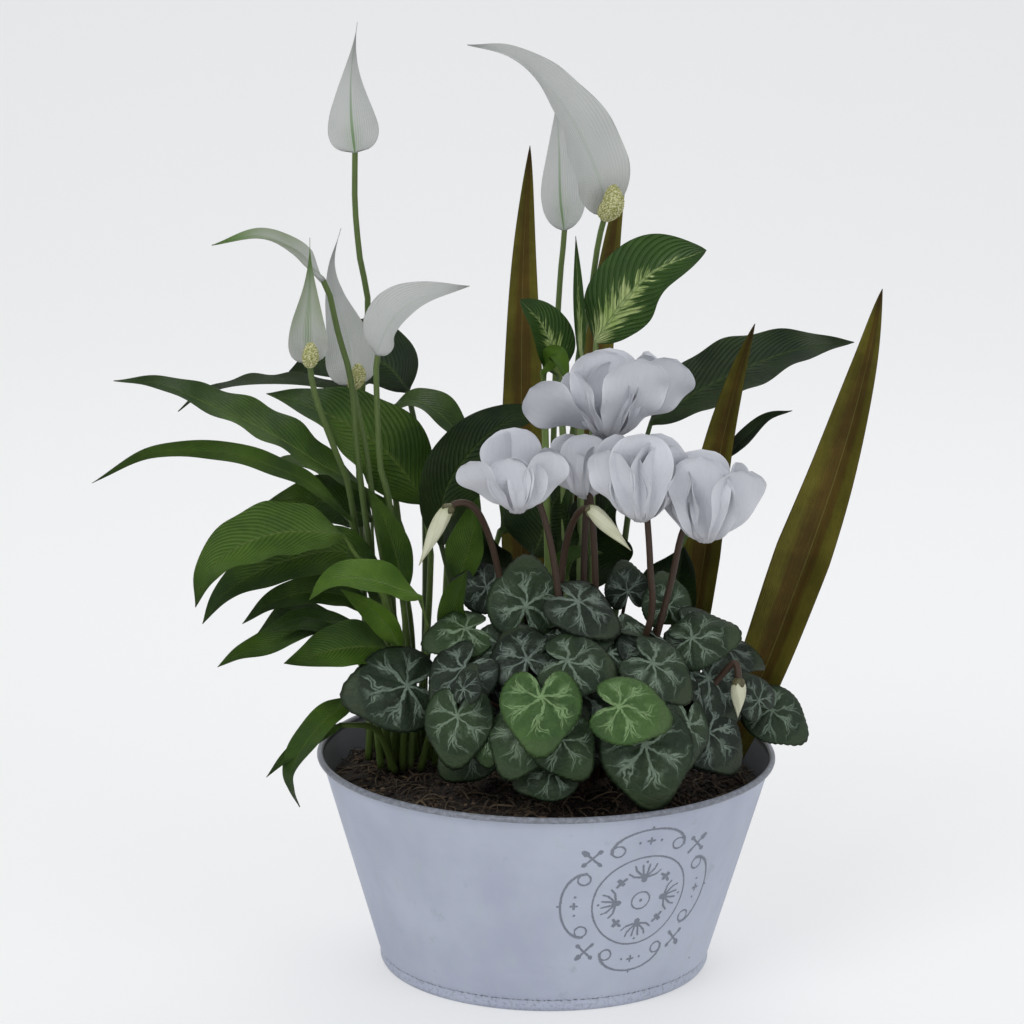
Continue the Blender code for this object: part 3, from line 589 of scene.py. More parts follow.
def soil_top_mesh():
    """The open top of the soil, for strewing over."""
    mesh = bpy.data.meshes.new("soil_top")
    count = 24
    reach = rim_radius * 0.9
    points, faces = [], []
    for row in range(count + 1):
        for column in range(count + 1):
            x = reach * (2 * column / count - 1)
            y = reach * (2 * row / count - 1)
            points.append((x, y, soil_height(x, y)))
    for row in range(count):
        for column in range(count):
            first = row * (count + 1) + column
            corners = (first, first + 1, first + count + 2, first + count + 1)
            if max(math.hypot(*points[corner][:2]) for corner in corners) < reach:
                faces.append(corners)
    mesh.from_pydata(points, [], faces)
    return mesh


litter_inputs = {"Flakes": 16000.0, "Crumbs": 60000.0, "Flake size": 0.0042, "Material": bark_finish()}
grown("soil_litter", soil_top_mesh(), litter_tree(), litter_inputs)

# Cyclamen tuber. A flattened corky corm half sunk in the peat, ringed with old stalk
# scars, from whose crown every cyclamen stalk rises.
MM = 0.001
SPREAD = rim_radius / 0.128
SOIL_TOP = soil_high.z
UP = Vector((0, 0, 1))
TUBER_PLACE = Vector((22, -22, 0)) * MM


def planted(point):
    """World place of a planting point: plan spread with the rim, height above the soil."""
    return Vector((point.x * SPREAD, point.y * SPREAD, point.z + SOIL_TOP))


def stacked_faces(rings, sides):
    """Faces between rings of points stacked on each other, with both ends closed."""
    faces = []
    for ring in range(rings - 1):
        for step in range(sides):
            after = (step + 1) % sides
            first, second = ring * sides, (ring + 1) * sides
            faces.append((first + step, first + after, second + after, second + step))
    faces.append(tuple(range(sides)))
    faces.append(tuple((rings - 1) * sides + step for step in range(sides)))
    return faces


def make_tuber():
    low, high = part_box("cyclamen_tuber")
    middle = (low + high) / 2
    radius = (high.x - low.x) / 2
    half_height = (high.z - low.z) / 2
    rings, sides = 20, 48
    points = []
    for ring in range(rings + 1):
        lift = math.pi * (ring / rings - 0.5)
        for step in range(sides):
            angle = 2 * math.pi * step / sides
            way = Vector((math.cos(angle) * math.cos(lift), math.sin(angle) * math.cos(lift), math.sin(lift)))
            rough = 0.97 + 0.05 * noise.noise(way * 3.1) + 0.02 * noise.noise(way * 11)
            spot = Vector((way.x * radius, way.y * radius, way.z * half_height)) * rough
            points.append(middle + spot)
    faces = stacked_faces(rings + 1, sides)
    cork = Finish("corky_tuber")
    place = cork.place()
    scars = cork.node("ShaderNodeTexVoronoi", None, {"Vector": place, "Scale": 260.0})
    cracks = cork.noise(place, 420, 4, 0.7)
    colour = cork.mix(cracks.between(0.35, 0.7), (0.030, 0.018, 0.012), (0.095, 0.060, 0.038))
    material = cork.finish(colour, 0.9, scars + cracks * 0.5, 0.0009)
    add_piece("tuber_body", points, faces, material, ("cyclamen_tuber",))


make_tuber()

# Peace lily leaves. Arching lance-shaped leaves on round stalks that rise at the left and
# middle rear: thin, glossy, pleated by curved side veins, with a pale midrib.
UPWARD = (0.1, -0.45, 0.9)
LILY_LEAVES = {
    "lily_leaf_upper_left": (
        [(-86, 24, 1), (-86, 29, 60), (-89, 30, 122)],
        [
            (-101, 23, 153), (-126, 12, 172), (-154, 4, 192),
            (-189, -2, 209), (-213, -2, 218), (-239, 0, 219),
        ],
        34,
        (UPWARD, UPWARD),
    ),
    "lily_leaf_thin_left": (
        [(-88, 42, 1), (-90, 54, 100), (-94, 62, 180)],
        [(-108, 66, 203), (-143, 66, 208), (-175, 68, 206), (-197, 68, 199), (-211, 70, 188)],
        26,
        ((0, 0.35, 1), (0, 0.2, 1)),
    ),
    "lily_leaf_broad": (
        [(-74, 30, 1), (-68, 42, 70), (-66, 46, 120)],
        [(-70, 44, 142), (-89, 40, 171), (-111, 36, 189), (-134, 34, 200), (-158, 34, 206)],
        52,
        ((-0.2, -0.9, 0.5), UPWARD),
    ),
    "lily_leaf_back": (
        [(-70, 38, 1), (-70, 66, 100), (-72, 78, 170)],
        [(-81, 80, 199), (-94, 88, 214), (-117, 94, 218), (-150, 100, 206)],
        46,
        ((0, -0.8, 0.6), (0, -0.8, 0.7)),
    ),
    "lily_leaf_right_arm": (
        [(-80, 44, 1), (-82, 60, 90), (-90, 64, 165)],
        [(-90, 60, 193), (-75, 53, 200), (-58, 47, 191), (-50, 44, 176), (-61, 46, 158)],
        26,
        ((0, -0.4, 1), (0.9, -0.5, 0.2)),
    ),
    "lily_leaf_lower_left": (
        [(-92, 16, 1), (-94, 15, 60), (-100, 10, 110)],
        [
            (-109, 1, 142), (-132, -12, 166), (-160, -24, 181),
            (-183, -30, 187), (-216, -34, 186), (-247, -38, 170),
        ],
        20,
        ((0.3, -0.6, 0.8), (0, -0.9, 0.4)),
    ),
    "lily_leaf_side": (
        [(-96, 32, 1), (-100, 34, 60), (-98, 34, 110)],
        [(-99, 32, 135), (-117, 25, 146), (-137, 18, 150), (-156, 14, 149)],
        34,
        ((0, -0.8, 0.6), (0, -0.7, 0.7)),
    ),
    "lily_leaf_arching_upper": (
        [(-80, -6, 1), (-79, -18, 55), (-92, -22, 112)],
        [
            (-112, -22, 138), (-135, -32, 144), (-155, -42, 143),
            (-174, -50, 135), (-184, -54, 124), (-190, -56, 106),
        ],
        38,
        ((0, -0.7, 0.7), (-0.5, -0.8, 0.2)),
    ),
    "lily_leaf_arching_lower": (
        [(-88, 10, 1), (-87, 4, 50), (-86, 0, 92)],
        [
            (-92, -2, 115), (-115, -8, 127), (-141, -20, 125),
            (-163, -28, 117), (-178, -34, 107), (-188, -38, 92),
        ],
        34,
        ((0, -0.7, 0.7), (-0.5, -0.8, 0.2)),
    ),
    "lily_leaf_front": (
        [(-78, 10, 1), (-68, -14, 55), (-64, -30, 90)],
        [(-69, -42, 109), (-88, -54, 121), (-106, -66, 127), (-118, -74, 125), (-127, -80, 117)],
        26,
        ((0, -0.5, 0.85), (-0.3, -0.8, 0.4)),
    ),
    "lily_leaf_middle_left": (
        [(-100, 12, 1), (-97, 8, 50), (-95, 6, 74)],
        [(-99, 3, 89), (-113, -1, 100), (-134, -8, 103), (-153, -14, 98), (-168, -18, 87)],
        22,
        ((0, -0.6, 0.8), (-0.4, -0.8, 0.4)),
    ),
    "lily_leaf_low_left": (
        [(-93, 4, 1), (-93, -1, 50), (-97, -7, 76)],
        [
            (-105, -14, 87), (-127, -22, 90), (-142, -28, 85),
            (-156, -33, 79), (-169, -37, 75), (-180, -39, 68),
        ],
        22,
        ((0, -0.4, 0.9), (-0.3, -0.9, 0.3)),
    ),
    "lily_leaf_low_front": (
        [(-86, -2, 1), (-84, -10, 40), (-83, -15, 62)],
        [(-87, -21, 74), (-100, -30, 79), (-116, -38, 79), (-129, -44, 76), (-143, -48, 73)],
        32,
        ((0, -0.7, 0.7), (-0.2, -0.8, 0.5)),
    ),
    "lily_leaf_hanging": (
        [(-86, -6, 1), (-90, -16, 30), (-95, -26, 46)],
        [
            (-104, -36, 51), (-120, -50, 43), (-132, -59, 30),
            (-139, -62, 16), (-138, -62, 6), (-134, -59, -5),
        ],
        19,
        ((0, -0.8, 0.7), (-0.9, -0.6, 0.2)),
    ),
    "lily_leaf_young": (
        [(-76, -2, 1), (-74, -14, 40), (-76, -22, 62)],
        [(-80, -26, 77), (-88, -32, 91), (-97, -38, 102), (-112, -45, 114)],
        17,
        ((-0.4, -0.9, 0.3), (-0.4, -0.9, 0.3)),
    ),
    "lily_leaf_upright": (
        [(-74, 18, 1), (-76, 6, 50), (-78, -2, 80)],
        [(-80, -8, 100), (-83, -12, 124), (-90, -15, 146), (-99, -17, 164)],
        20,
        ((0.5, -0.9, 0.1), (0.4, -0.9, 0.2)),
    ),
    "dark_leaf_right": (
        [(30, 48, 1), (40, 54, 90), (48, 58, 160)],
        [(57, 60, 186), (85, 66, 206), (119, 74, 221), (144, 82, 227), (173, 92, 228)],
        44,
        ((-0.2, -0.7, 0.7), (0, -0.6, 0.8)),
    ),
    "dark_leaf_left": (
        [(-12, 46, 1), (-36, 40, 50), (-54, 36, 92)],
        [(-60, 34, 120), (-58, 32, 150), (-44, 26, 176), (-25, 20, 194), (2, 14, 203)],
        40,
        ((0.5, -0.8, 0.3), (-0.2, -0.8, 0.5)),
    ),
}


def smooth_path(points, count):
    """Evenly spaced points on a Catmull-Rom curve through the given points, in metres from millimetres."""
    points = [Vector(point) * MM for point in points]
    padded = [points[0] * 2 - points[1], *points, points[-1] * 2 - points[-2]]
    fine = []
    for before, start, end, after in zip(padded, padded[1:], padded[2:], padded[3:]):
        for step in range(16):
            t = step / 16
            bend = before * 2 - start * 5 + end * 4 - after
            pull = start * 3 - before - end * 3 + after
            fine.append((start * 2 + (end - before) * t + bend * t * t + pull * t**3) * 0.5)
    fine.append(points[-1])
    travelled = [0.0]
    for here, following in zip(fine, fine[1:]):
        travelled.append(travelled[-1] + (following - here).length)
    path = []
    index = 0
    for step in range(count):
        target = travelled[-1] * step / (count - 1)
        while travelled[index + 1] < target and index < len(fine) - 2:
            index += 1
        share = (target - travelled[index]) / (travelled[index + 1] - travelled[index])
        path.append(fine[index].lerp(fine[index + 1], min(share, 1.0)))
    return path


def frame_at(path, index, face):
    """Sideways and outward directions at a point of a path whose outside looks along face."""
    ahead = path[min(index + 1, len(path) - 1)] - path[max(index - 1, 0)]
    side = ahead.normalized().cross(face).normalized()
    return side, side.cross(ahead.normalized())


class Loft:
    """A closed body from equal rings of points, with map places and an underside mask."""

    AROUND = 28

    def __init__(self):
        self.points, self.places, self.sides, self.faces = [], [], [], []
        self.rings = 0

    def ring(self, middle, side, out, half, along, section):
        """section(across) gives the rise of the top and of the underside at a place across."""
        for step in range(self.AROUND):
            angle = 2 * math.pi * step / self.AROUND
            across = -math.cos(angle)
            below = math.sin(angle) < -0.001
            rise = section(across, math.sin(angle))
            self.points.append(planted(middle + side * (half * across) + out * rise))
            self.places.append(((across + 1) / 2, along))
            self.sides.append(1.0 if below else 0.0)
        if self.rings:
            first = (self.rings - 1) * self.AROUND
            for step in range(self.AROUND):
                after = (step + 1) % self.AROUND
                second = first + self.AROUND
                self.faces.append((first + step, first + after, second + after, second + step))
        self.rings += 1

    def close(self):
        last = (self.rings - 1) * self.AROUND
        self.faces.append(tuple(range(self.AROUND)))
        self.faces.append(tuple(last + step for step in range(self.AROUND)))


def lance(t):
    return math.sin(math.pi * t**0.8) ** 0.9 * (1 - 0.25 * t)


def add_blade(loft, name, stalk, blade, width, outline, faces, look):
    """Lofts a stalk and its blade; look holds stalk radius, thickness, fold, cup, wave and rings."""
    faces = [Vector(face).normalized() for face in faces]
    radius, thick = look["stalk"], look["thick"]
    chance = random.Random(name)
    phase = chance.uniform(0, 6.28)
    sway = chance.uniform(0.8, 1.2)
    if stalk:
        path = smooth_path(stalk, 16)
        for index in range(len(path) - 1):
            side, out = frame_at(path, index, faces[0])
            swell = radius * (1.25 - 0.25 * index / 15)
            loft.ring(path[index], side, out, swell, index / 15 - 1, lambda across, turn: swell * turn)
    rings = look["rings"]
    path = smooth_path(blade, rings)
    length = sum((b - a).length for a, b in zip(path, path[1:]))
    for index, middle in enumerate(path):
        t = index / (rings - 1)
        side, out = frame_at(path, index, faces[0].lerp(faces[1], t))
        half = max(width * MM / 2 * outline(t), radius * (1 - 3 * t), 0.00015)
        rib = max(radius * (1 - 1.1 * t), 0.0)
        opened = min(1.0, 5 * t)
        turns = length / look["ripple"]

        def section(across, turn):
            reach = abs(across)
            ridge = rib * math.exp(-((across * half / 0.0016) ** 2))
            body = thick / 2 * turn + ridge * turn * (1.0 if turn < 0 else 1 - opened)
            crease = look["fold"] * half * (math.sqrt(reach * reach + 0.006) - 0.5) * opened
            cupped = look["cup"] * half * (reach * reach - 0.35) * opened
            edge = reach**2.5 * look["wave"] * half * opened
            ripple = edge * math.sin(2 * math.pi * turns * sway * t + phase + (1.3 if across > 0 else 0.0))
            return min(body, half) + crease + cupped + ripple

        loft.ring(middle, side, out, half, t, section)
    loft.close()


UNDERSIDE_GREEN = (0.075, 0.12, 0.035)


def leaf_green(name, deep, paler_green, rib):
    """Glossy leaf: curved side veins in relief, mottled green, a paler midrib, stalk and underside."""
    leaf = Finish(name)
    place = leaf.place()
    across, along, _ = leaf.parts(leaf.map_place())
    reach = abs(across * 2 - 1)
    under = leaf.attribute("underside")
    bend = reach * 0.20 + reach * reach * 0.13
    line = (along - bend) * 24 + (leaf.noise(place, 60, 2) - 0.5) * 0.5
    vein = abs(line.math("FRACT") - 0.5) * 2
    fine = abs((line * 4).math("FRACT") - 0.5) * 2
    cloud = leaf.noise(place, 26, 4, 0.6)
    speck = leaf.noise(place, 240, 3, 0.6)
    colour = leaf.mix(cloud.between(0.3, 0.72), deep, paler_green)
    shade = (vein * 0.4 + fine * 0.2 + speck * 0.3 - 0.25).clamped()
    colour = leaf.mix(shade * 0.42, colour, tuple(channel * 0.42 for channel in deep))
    colour = leaf.mix(vein.between(0.9, 1.0) * 0.3, colour, paler_green)
    edge_pale = reach.between(0.93, 1.0) * 0.35
    colour = leaf.mix(edge_pale, colour, paler_green)
    dull = tuple(0.5 * a + 0.5 * b for a, b in zip(paler_green, UNDERSIDE_GREEN))
    colour = leaf.mix(under * 0.5, colour, dull)
    midrib = reach.between(0.085, 0.02) * (1 - along * 0.6) * 0.7
    stalk = along.between(0.02, -0.02)
    streak = leaf.noise(leaf.vector(across * 9, along * 5), 3, 3)
    stalk_colour = leaf.mix(streak, tuple(channel * 0.6 for channel in rib), rib)
    colour = leaf.mix(midrib.math("MAXIMUM", stalk), colour, stalk_colour)
    pleats = (1 - vein.between(0.55, 1.0)) * 0.7 + fine * 0.12 + speck * 0.1
    height = pleats - reach.between(0.07, 0.0) * (1 - under) * 0.8
    roughness = 0.33 + speck * 0.14 + under * 0.18
    return leaf.finish(colour, roughness, height * (1 - stalk * 0.8), 0.0009, Specular_IOR_Level=0.28)


def make_leaf(name, stalk, blade, width, outline, faces, look, material, slot, stands_for=()):
    loft = Loft()
    add_blade(loft, name, stalk, blade, width, outline, faces, look)
    title = name + "_blade"
    return add_piece(title, loft.points, loft.faces, material, stands_for, loft.places, loft.sides)


lily_look = {
    "stalk": 0.0017, "thick": 0.0007, "fold": 0.22, "cup": 0.16,
    "wave": 0.10, "ripple": 0.030, "rings": 60,
}
# Three tones of one leaf finish: the plain one; a paler copy that paints light on the front leaf and also
# gives the young leaf its own paler green; and a darker copy that paints shade on the leaves at the back.
mid_green = leaf_green("lily_green", (0.022, 0.058, 0.006), (0.076, 0.148, 0.015), (0.15, 0.23, 0.05))
bright_green = leaf_green(
    "young_lily_green", (0.060, 0.140, 0.010), (0.140, 0.260, 0.028), (0.24, 0.35, 0.10)
)
dark_green = leaf_green("old_lily_green", (0.010, 0.024, 0.007), (0.034, 0.062, 0.014), (0.08, 0.13, 0.035))
# Which leaves take the painted lit copy and which take the painted shaded copy.
lily_shades = {
    "lily_leaf_front": bright_green,
    "lily_leaf_young": bright_green,
    "lily_leaf_back": dark_green,
    "lily_leaf_thin_left": dark_green,
    "dark_leaf_right": dark_green,
    "dark_leaf_left": dark_green,
}
narrowed = {"lily_leaf_lower_left": 0.72}
for name, (stalk, blade, width, faces) in LILY_LEAVES.items():
    shade = lily_shades.get(name, mid_green)
    width *= narrowed.get(name, 1)
    make_leaf(name, stalk, blade, width, lance, faces, lily_look, shade, "lily_leaf", (name,))

# Small lily leaves. Narrow new leaves and torn tips between the big ones, and darker ones
# at the back, painted as shade, that fill the clump.
SMALL_LILY_LEAVES = {
    "lily_spear": (
        [(-82, 2, 1), (-84, -8, 45), (-88, -14, 76)],
        [(-92, -18, 96), (-101, -24, 118), (-110, -28, 132)],
        11,
        (UPWARD, UPWARD),
    ),
    "lily_curl": (
        [(-92, -4, 1), (-96, -10, 40), (-103, -16, 66)],
        [(-110, -20, 80), (-130, -30, 90), (-152, -38, 88)],
        13,
        (UPWARD, UPWARD),
    ),
    "lily_fork": (
        [(-84, -10, 1), (-92, -22, 26), (-102, -36, 36)],
        [(-112, -46, 38), (-126, -54, 33), (-142, -58, 22), (-152, -60, 12)],
        11,
        ((0, -0.8, 0.7), (-0.6, -0.8, 0.3)),
    ),
    "lily_rear_left": (
        [(-82, 48, 1), (-92, 64, 60), (-104, 76, 110)],
        [(-112, 82, 134), (-134, 92, 152), (-162, 100, 152)],
        32,
        ((0, 0.5, 0.85), (0, 0.6, 0.8)),
    ),
    "lily_rear_middle": (
        [(-66, 50, 1), (-60, 70, 60), (-58, 84, 104)],
        [(-58, 92, 124), (-66, 106, 140), (-84, 116, 138)],
        34,
        ((0, 0.7, 0.7), (0, 0.8, 0.5)),
    ),
    "lily_rear_right": (
        [(-56, 48, 1), (-44, 60, 60), (-34, 72, 98)],
        [(-28, 78, 118), (-14, 92, 132), (6, 102, 128)],
        32,
        ((0.2, 0.7, 0.7), (0.2, 0.8, 0.5)),
    ),
    "dark_rear": (
        [(20, 58, 1), (18, 70, 60), (20, 82, 104)],
        [(22, 90, 124), (32, 104, 138), (48, 114, 132)],
        36,
        ((0.1, 0.7, 0.7), (0.2, 0.8, 0.5)),
    ),
    "dark_fill_left": (
        [(-20, 20, 1), (-16, 26, 60), (-12, 28, 96)],
        [(-8, 28, 116), (2, 24, 150), (18, 20, 172)],
        54,
        (UPWARD, UPWARD),
    ),
    "dark_fill_middle": (
        [(26, 30, 1), (26, 32, 50), (24, 32, 84)],
        [(24, 32, 96), (26, 30, 132), (40, 28, 160)],
        50,
        (UPWARD, UPWARD),
    ),
    "lily_fill_low": (
        [(-62, 2, 1), (-58, -8, 40), (-54, -16, 66)],
        [(-52, -20, 78), (-50, -30, 104), (-44, -40, 124)],
        22,
        (UPWARD, (-0.4, -0.8, 0.4)),
    ),
    "lily_fill_mid": (
        [(-66, 14, 1), (-60, 10, 60), (-54, 4, 92)],
        [(-50, 0, 106), (-42, -8, 140), (-38, -14, 160)],
        26,
        (UPWARD, (-0.4, -0.8, 0.4)),
    ),
    "lily_fill_high": (
        [(-74, 22, 1), (-76, 18, 70), (-80, 12, 104)],
        [(-82, 10, 116), (-92, 2, 146), (-98, -4, 160)],
        26,
        (UPWARD, UPWARD),
    ),
    "lily_fill_left": (
        [(-84, 12, 1), (-92, 6, 44), (-104, 2, 66)],
        [(-112, 0, 76), (-138, -8, 90), (-162, -14, 78)],
        26,
        (UPWARD, UPWARD),
    ),
    "lily_fill_rear": (
        [(-80, 34, 1), (-94, 40, 60), (-112, 44, 88)],
        [(-120, 46, 98), (-146, 50, 106), (-170, 54, 92)],
        28,
        (UPWARD, UPWARD),
    ),
    "lily_stub": (
        [(-70, -6, 1), (-60, -20, 40), (-48, -34, 58)],
        [(-44, -38, 64), (-34, -44, 72), (-26, -48, 70)],
        18,
        (UPWARD, UPWARD),
    ),
    "dark_fill_low": (
        [(2, 30, 1), (-10, 28, 40), (-24, 26, 70)],
        [(-30, 24, 84), (-38, 18, 116), (-36, 12, 140)],
        44,
        (UPWARD, UPWARD),
    ),
    "dark_fill_right": (
        [(44, 26, 1), (52, 28, 40), (58, 28, 66)],
        [(62, 28, 78), (72, 26, 106), (76, 22, 124)],
        42,
        (UPWARD, UPWARD),
    ),
    "green_fill": (
        [(10, 12, 1), (4, 8, 70), (2, 4, 92)],
        [(4, 2, 106), (14, -4, 124), (30, -12, 128)],
        20,
        (UPWARD, UPWARD),
    ),
    "dark_tail": (
        [(44, 44, 1), (60, 46, 80), (84, 48, 140)],
        [(98, 50, 168), (120, 52, 190), (136, 52, 196)],
        12,
        (UPWARD, UPWARD),
    ),
}
for name, (stalk, blade, width, faces) in SMALL_LILY_LEAVES.items():
    # The dark_ leaves behind the clump take the copy painted as shade.
    shade = dark_green if name.startswith("dark") else mid_green
    make_leaf(name, stalk, blade, width, lance, faces, lily_look, shade, "lily_leaf")

# Peace lily flowers. One white leaf-like spathe opens from each green stem, hooded over
# a knobbly cream spadix; the oldest have greened at the tip and along the back's veins.
LILY_FLOWERS = {
    "lily_flower_tall": (
        [
            (-98, 44, 1), (-106, 53, 110), (-107, 54, 180), (-102, 47, 252),
            (-106, 43, 279), (-109, 44, 310), (-109, 44, 336),
        ],
        [(-109, 44, 340), (-111, 44, 363), (-111, 46, 385), (-108, 50, 411)],
        26,
        ((0, 1, 0.1), (0, 1, 0.1)),
        None,
    ),
    "lily_flower_greenish": (
        [
            (-80, 22, 1), (-94, 12, 90), (-102, 8, 146), (-106, 4, 182),
            (-109, 2, 220), (-116, 0, 247), (-121, 0, 270),
        ],
        [(-124, -1, 276), (-138, -6, 293), (-157, -12, 302), (-183, -16, 297)],
        20,
        ((0, -0.2, 1), (0, -0.5, 1)),
        None,
    ),
    "lily_flower_budding": (
        [
            (-100, 24, 1), (-103, 21, 90), (-110, 8, 155),
            (-117, -4, 181), (-126, -16, 210), (-130, -21, 230),
        ],
        [(-130, -22, 234), (-131, -24, 252), (-130, -21, 275), (-130, -18, 302)],
        20,
        ((0.1, -1, 0.1), (0.1, -1, 0.1)),
        [(-130, -23, 235), (-129, -30, 240), (-129, -31, 247)],
    ),
    "lily_flower_tailed": (
        [
            (-78, 26, 1), (-80, 16, 50), (-88, 13, 95),
            (-96, 13, 140), (-102, 18, 180), (-108, 22, 208),
        ],
        [(-109, 23, 213), (-112, 24, 238), (-119, 26, 262), (-121, 28, 280), (-116, 30, 300)],
        26,
        ((0.1, -1, 0.1), (0.1, -1, 0.1)),
        [(-109, 22, 214), (-106, 16, 220), (-106, 15, 227)],
    ),
    "lily_flower_right": (
        [(-72, 24, 1), (-80, 8, 90), (-88, 0, 153), (-93, -3, 176), (-95, -6, 230)],
        [(-94, -6, 236), (-89, -8, 254), (-74, -12, 268), (-44, -20, 277)],
        31,
        ((-0.6, -0.8, 0.3), (-0.3, -0.6, 0.8)),
        None,
    ),
    "lily_flower_great": (
        [(14, 50, 1), (12, 46, 120), (15, 40, 220), (21, 35, 256), (25, 28, 290), (28, 23, 306)],
        [
            (29, 21, 310), (25, 14, 335), (12, 6, 364),
            (-5, -2, 387), (-23, -10, 401), (-46, -16, 406),
        ],
        40,
        ((0.3, -1, 0.2), (0.3, -0.4, 0.8)),
        [(29, 20, 311), (33, 12, 317), (33, 10, 328)],
    ),
    "lily_flower_rear": (
        [(4, 58, 1), (2, 60, 120), (3, 58, 220), (5, 57, 270), (7, 57, 292)],
        [(7, 57, 296), (5, 58, 318), (4, 62, 340), (2, 68, 366)],
        29,
        ((0.2, 1, 0.1), (0.2, 1, 0.1)),
        None,
    ),
}


def hooded(t):
    return math.sin(math.pi * t**0.62) ** 0.85 * (1 - 0.45 * t)


def tailed(t):
    return 1.42 * math.sin(math.pi * t**0.55) ** 0.8 * (1 - t) ** 1.15


def spathe_finish(name, tip_green):
    """White papery spathe with fine lengthwise veins and a green midrib on its back."""
    spathe = Finish(name)
    place = spathe.place()
    across, along, _ = spathe.parts(spathe.map_place())
    reach = abs(across * 2 - 1)
    under = spathe.attribute("underside")
    cloud = spathe.noise(place, 40, 3)
    lines = abs(((across - 0.5) * (1 - along * 0.5) * 26 + cloud * 0.8).math("FRACT") - 0.5) * 2
    colour = spathe.mix(cloud, (0.43, 0.445, 0.425), (0.53, 0.54, 0.525))
    colour = spathe.mix(lines.between(0.75, 1.0) * 0.3, colour, (0.36, 0.40, 0.31))
    base = along.between(0.45, 0.0) * under
    spread = reach.between(0.5, 0.05) * base * lines.between(0.2, 0.9)
    colour = spathe.mix(spread * 0.5, colour, (0.20, 0.33, 0.10))
    midrib = reach.between(0.09, 0.02) * (0.18 + under * 0.8) * (1 - along * 0.9)
    colour = spathe.mix(midrib * 0.85, colour, (0.10, 0.22, 0.05))
    tip = along.between(0.95 - 0.55 * tip_green, 1.1 - 0.3 * tip_green) * (0.15 + tip_green)
    colour = spathe.mix(tip.clamped(), colour, (0.12, 0.27, 0.045))
    wash = (cloud * 0.7 + reach * 0.7) * tip_green * 0.8 * along.between(0.05, 0.45)
    colour = spathe.mix(wash.clamped(), colour, (0.15, 0.21, 0.055))
    centre = reach.between(0.35, 0.05) * tip_green * lines.between(0.1, 0.8)
    colour = spathe.mix(centre, colour, (0.10, 0.19, 0.03))
    height = lines * 0.5 + cloud * 0.3
    return spathe.finish(colour, 0.5, height, 0.0004, Specular_IOR_Level=0.3)


def floret_tree():
    """Geometry nodes that stud a spadix with rows of blunt florets."""
    inputs = [
        ("Core", "Geometry"), ("Spacing", "Float"),
        ("Floret size", "Float"), ("Material", "Material"),
    ]
    tree, (core, spacing, size, material) = begin_group("florets", inputs, "Spadix")
    values = {"Mesh": core, "Distance Min": spacing, "Density Max": 6000000.0, "Seed": 4}
    settings = {"distribute_method": "POISSON"}
    spots = tree.node("GeometryNodeDistributePointsOnFaces", settings, values)
    turn = Value(tree, spots.socket.node.outputs["Rotation"])
    floret = tree.node("GeometryNodeMeshIcoSphere", None, {"Radius": 1.0, "Subdivisions": 1})
    values = {"Points": spots, "Instance": floret, "Rotation": turn, "Scale": size}
    knobs = tree.node("GeometryNodeInstanceOnPoints", None, values)
    joined = tree.node("GeometryNodeJoinGeometry")
    tree.tree.links.new(knobs.socket, joined.socket.node.inputs[0])
    tree.tree.links.new(core.socket, joined.socket.node.inputs[0])
    return end_group(tree, joined, material)


def spadix_cream():
    cream = Finish("spadix_cream")
    place = cream.place()
    pollen = cream.noise(place, 900, 2)
    colour = cream.mix(pollen.between(0.4, 0.62), (0.30, 0.31, 0.10), (0.62, 0.60, 0.36))
    return cream.finish(colour, 0.7, pollen, 0.0003, Specular_IOR_Level=0.2)


def spadix_core(spadix, stout):
    """The smooth club under the florets."""
    loft = Loft()
    path = smooth_path(spadix, 12)
    for index, middle in enumerate(path):
        t = index / 11
        side, out = frame_at(path, index, Vector((0, -1, 0)))
        swell = (0.0008 + 0.0034 * stout * math.sin(math.pi * min(t * 0.55 + 0.25, 1.0))) * (1 - t**7 * 0.7)
        loft.ring(middle, side, out, swell, t, lambda across, turn: swell * turn)
    loft.close()
    mesh = bpy.data.meshes.new("spadix_core")
    mesh.from_pydata(loft.points, [], loft.faces)
    return mesh


def stem_finish(name, dark, light):
    """Round stems with lengthwise streaks and pores, lighter towards their upper ends."""
    stem = Finish(name)
    place = stem.place()
    tint = stem.attribute("tint")
    x, y, z = stem.parts(place)
    streaks = stem.noise(stem.vector(x * 6, y * 6, z * 0.5), 260, 3, 0.6)
    pores = stem.noise(place, 900, 2)
    colour = stem.mix((streaks * 0.8 + tint * 0.4 - 0.1).clamped(), dark, light)
    return stem.finish(colour, 0.48, streaks * 0.6 + pores * 0.3, 0.0004, Specular_IOR_Level=0.3)


def stem_line(points, count, start, end):
    path = smooth_path(points, count)
    return [(planted(spot), start + (end - start) * index / (count - 1)) for index, spot in enumerate(path)]


white_spathe = spathe_finish("white_spathe", 0.0)
greening_spathe = spathe_finish("greening_spathe", 0.75)
florets = floret_tree()
cream_finish = spadix_cream()
green_stem = stem_finish("lily_stem_green", (0.026, 0.052, 0.010), (0.115, 0.165, 0.045))
spathe_look = {
    "stalk": 0.0016, "thick": 0.0006, "fold": 0.12, "cup": 0.42,
    "wave": 0.06, "ripple": 0.035, "rings": 56,
}
lily_stems = []
for name, (stem, blade, width, faces, spadix) in LILY_FLOWERS.items():
    greening = name in ("lily_flower_greenish", "lily_flower_budding")
    material = greening_spathe if greening else white_spathe
    outline = tailed if name in ("lily_flower_tall", "lily_flower_tailed", "lily_flower_budding") else hooded
    make_leaf(name, None, blade, width, outline, faces, spathe_look, material, "petal", (name,))
    lily_stems.append(stem_line([*stem, blade[0]], 30, 0.0020, 0.0016))
    if spadix:
        inputs = {"Spacing": 0.00115, "Floret size": 0.00078, "Material": cream_finish}
        stout = 1.45 if name == "lily_flower_great" else 0.95
        grown(name + "_spadix", spadix_core(spadix, stout), florets, inputs)
tubes("lily_flower_stems", lily_stems, 12, green_stem)

